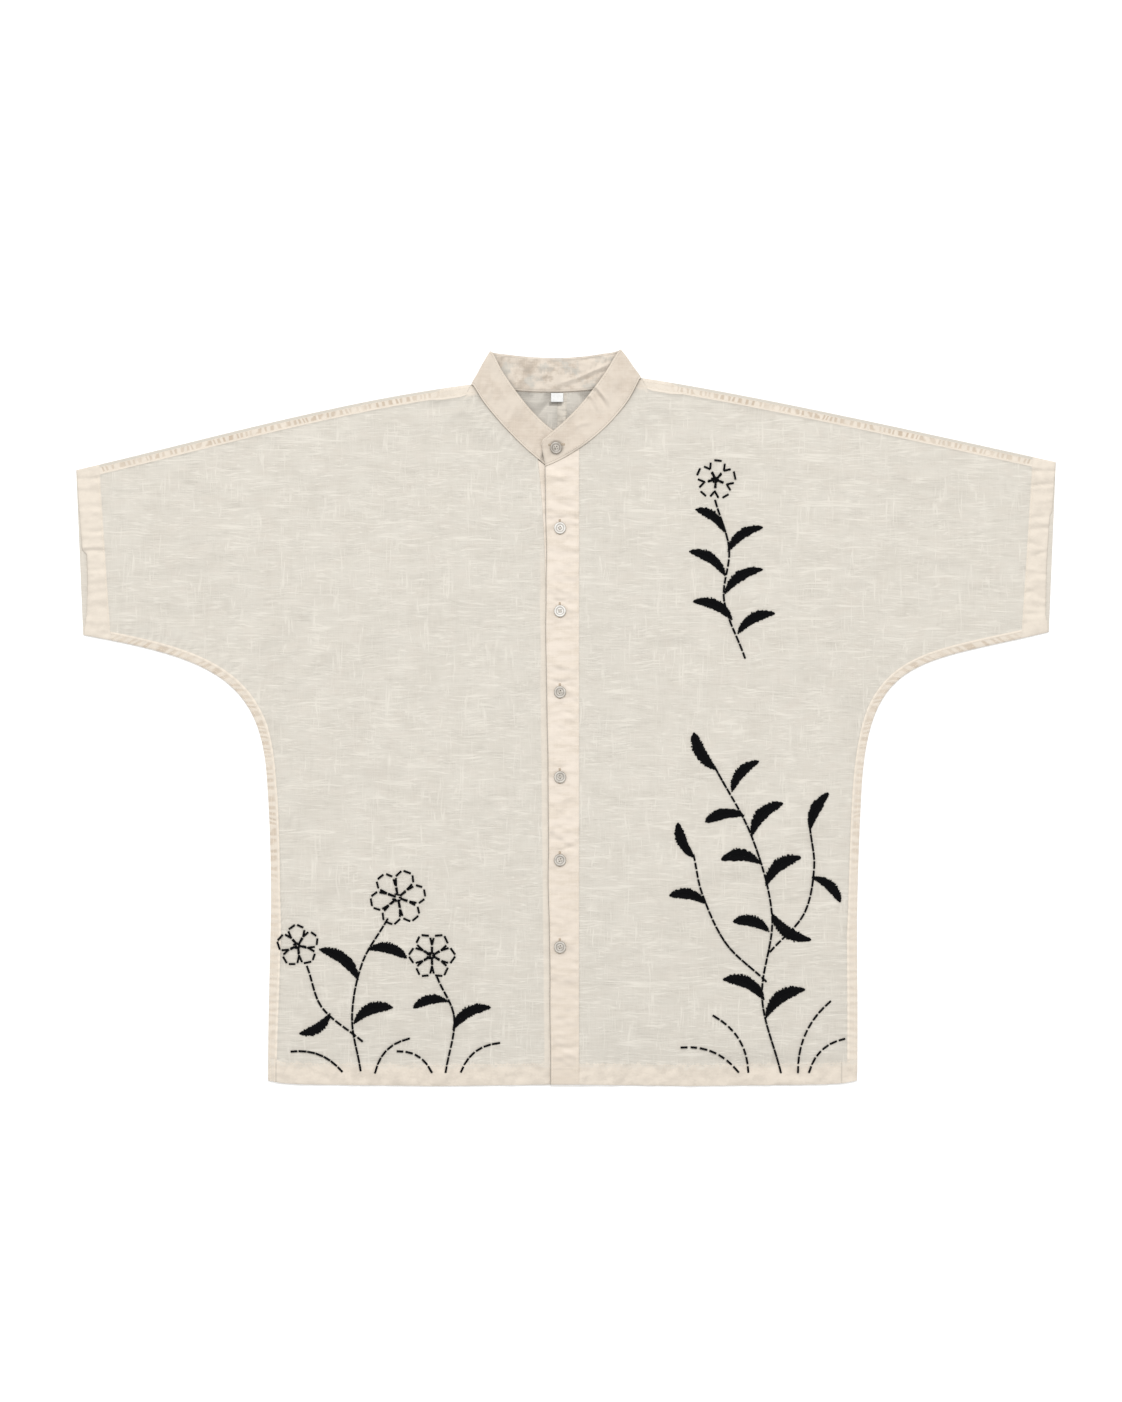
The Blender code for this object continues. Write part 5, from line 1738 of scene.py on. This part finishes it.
def band_lines():
    """Paths of the topstitching of the overlap band and of the collar's outer cloth."""
    edge = bezier("overlap_edge")
    heights = np.linspace(242.0, HEM_Y + 4.0, 200)
    left = np.interp(heights, edge[::-1, 1], edge[::-1, 0])
    right = np.full_like(heights, PLACKET_EDGE_X - 2.0)
    band = [np.stack([across, heights], axis=1) for across in (left + 2.3, right)]
    collar = []
    for side in ("right", "left"):
        seam, top, _ = collar_stretch(side, 40)
        seam, top = seam[2:-1, :2], top[2:-1, :2]
        across = (top - seam) / np.linalg.norm(top - seam, axis=1)[:, None]
        for line in (seam + across * 2.2, top - across * 2.2):
            hidden_end = -24.0 + 0.2 * (line[:, 1] - 250.0) if side == "right" else 200.0
            collar.append(line[line[:, 0] < hidden_end - 2.0])
    return band, collar


def topstitch(name, lines, cloth):
    """Cream machine stitches along lines on one cloth."""
    surfaces = [surface_of(cloth)]
    laid = [lay_on(line, surfaces, 0.02) for line in lines]
    return wear(grown(name, laid, stitch_tree, MACHINE_STITCH), None)


def buttonholes(surfaces):
    """Close bars of thread along a slot under each button, level on the collar and upright below."""
    lines = []
    for name, x, y, _ in BUTTONS:
        ends = ((x - 7.4, y + 3.0), (x + 8.8, y + 3.4))
        if name != "button_1":
            ends = ((x - 0.4, y - 6.6), (x - 0.2, y + 8.6))
        lines.append(lay_on(np.linspace(*ends, 24), surfaces, 0.05))
    return wear(grown("buttonhole_threads", lines, stitch_tree, BUTTONHOLE_STITCH), None)


fronts = [surface_of(p) for p in (front_right, front_left, over_band, collar_out)]
stitching = {side: topstitch("stitches_front_" + side, sewing_lines(side), cloth)
             for side, cloth in (("right", front_right), ("left", front_left))}
placket_lines, collar_lines = band_lines()
band_stitches = topstitch("stitches_band", placket_lines, over_band)
collar_stitches = topstitch("stitches_collar", collar_lines, collar_out)
buttonhole_threads = buttonholes(fronts)


def embroider(side):
    """The stems, flowers, leaves and seeds of one front, in black floss."""
    def mine(rows, x_of=lambda row: row[0]):
        return [row for row in rows if (x_of(row) < 0) == (side == "right")]

    outlines = [curve_through(stem) for stem in mine(STEMS, lambda row: row[0][0])]
    outlines += [bowed(*blade) for blade in mine(BLADES)]
    flowers = mine(FLOWERS)
    for flower in flowers:
        outlines += petals(*flower)
    laid = [lay_on(line, fronts, 0.3) for line in outlines]
    floss = grown("floss_outline_" + side, laid, stitch_tree, RUNNING_STITCH)
    midribs, widths = [], []
    for x0, y0, x1, y1, half, bend in mine(LEAVES):
        line = bowed(x0, y0, x1, y1, bend * math.hypot(x1 - x0, y1 - y0), 24)
        laid = lay_on(line, fronts, 0.3)
        midribs.append(laid)
        full = half * MM * 1.2
        widths.append([full * (0.12 + 0.88 * math.sin(math.pi * s ** 0.8) ** 0.8)
                       for s in np.linspace(0.0, 1.0, len(laid))])
    satin = grown("floss_leaves_" + side, midribs, satin_tree, SATIN_STITCH, widths)
    seed_lines = []
    for x, y, reach, _, _ in flowers:
        for cx, cy, _ in ring_of(reach * 0.13, 0.0, 7):
            cx, cy = x + cx, y + cy
            seed_lines.append(lay_on(np.array([(cx - 1.2, cy), (cx + 1.2, cy)]), fronts, 0.4))
    seeds = grown("floss_seeds_" + side, seed_lines, stitch_tree, SEED_STITCH)
    return [wear(piece, None) for piece in (floss, satin, seeds)]


embroidery_right = embroider("right")
embroidery_left = embroider("left")


# Camera, floor and light

def add_camera(height_seen, lens, sensor, centre):
    """A camera straight above, far enough to see the given height in metres."""
    data = bpy.data.cameras.new("camera")
    data.lens = lens
    data.sensor_width = sensor
    data.clip_end = 50.0
    camera = new_object("camera", data)
    camera.location = (*centre, height_seen * lens / sensor + 0.003)
    bpy.context.scene.camera = camera


def add_floor(half, level):
    """A pale square below the shirt."""
    data = bpy.data.meshes.new("floor")
    corners = [(-half, -half, level), (half, -half, level), (half, half, level), (-half, half, level)]
    data.from_pydata(corners, [], [(0, 1, 2, 3)])
    material, _, shader = base_material("pale floor", 0.9)
    shader.inputs["Base Color"].default_value = (0.985, 0.985, 0.985, 1.0)
    floor = new_object("floor", data, material)


def add_light(name, location, size, power):
    """A round lamp that faces the origin."""
    data = bpy.data.lights.new(name, "AREA")
    data.shape = "DISK"
    data.size = size
    data.energy = power
    light = new_object(name, data)
    light.location = location
    light.rotation_euler = (-Vector(location)).to_track_quat("-Z", "Y").to_euler()


def add_world(strength):
    """White light from all around."""
    world = bpy.data.worlds.new("studio")
    world.use_nodes = True
    back = world.node_tree.nodes["Background"]
    back.inputs[0].default_value = (1.0, 1.0, 1.0, 1.0)
    back.inputs[1].default_value = strength
    bpy.context.scene.world = world


add_camera(1.402, 110.0, 36.0, (-0.005, 0.0165))
add_floor(6.0, -0.0002)
add_light("key", (-0.3, 3.2, 5.2), 2.4, 174.0)
add_world(0.942)
bpy.context.scene.view_settings.view_transform = "Standard"
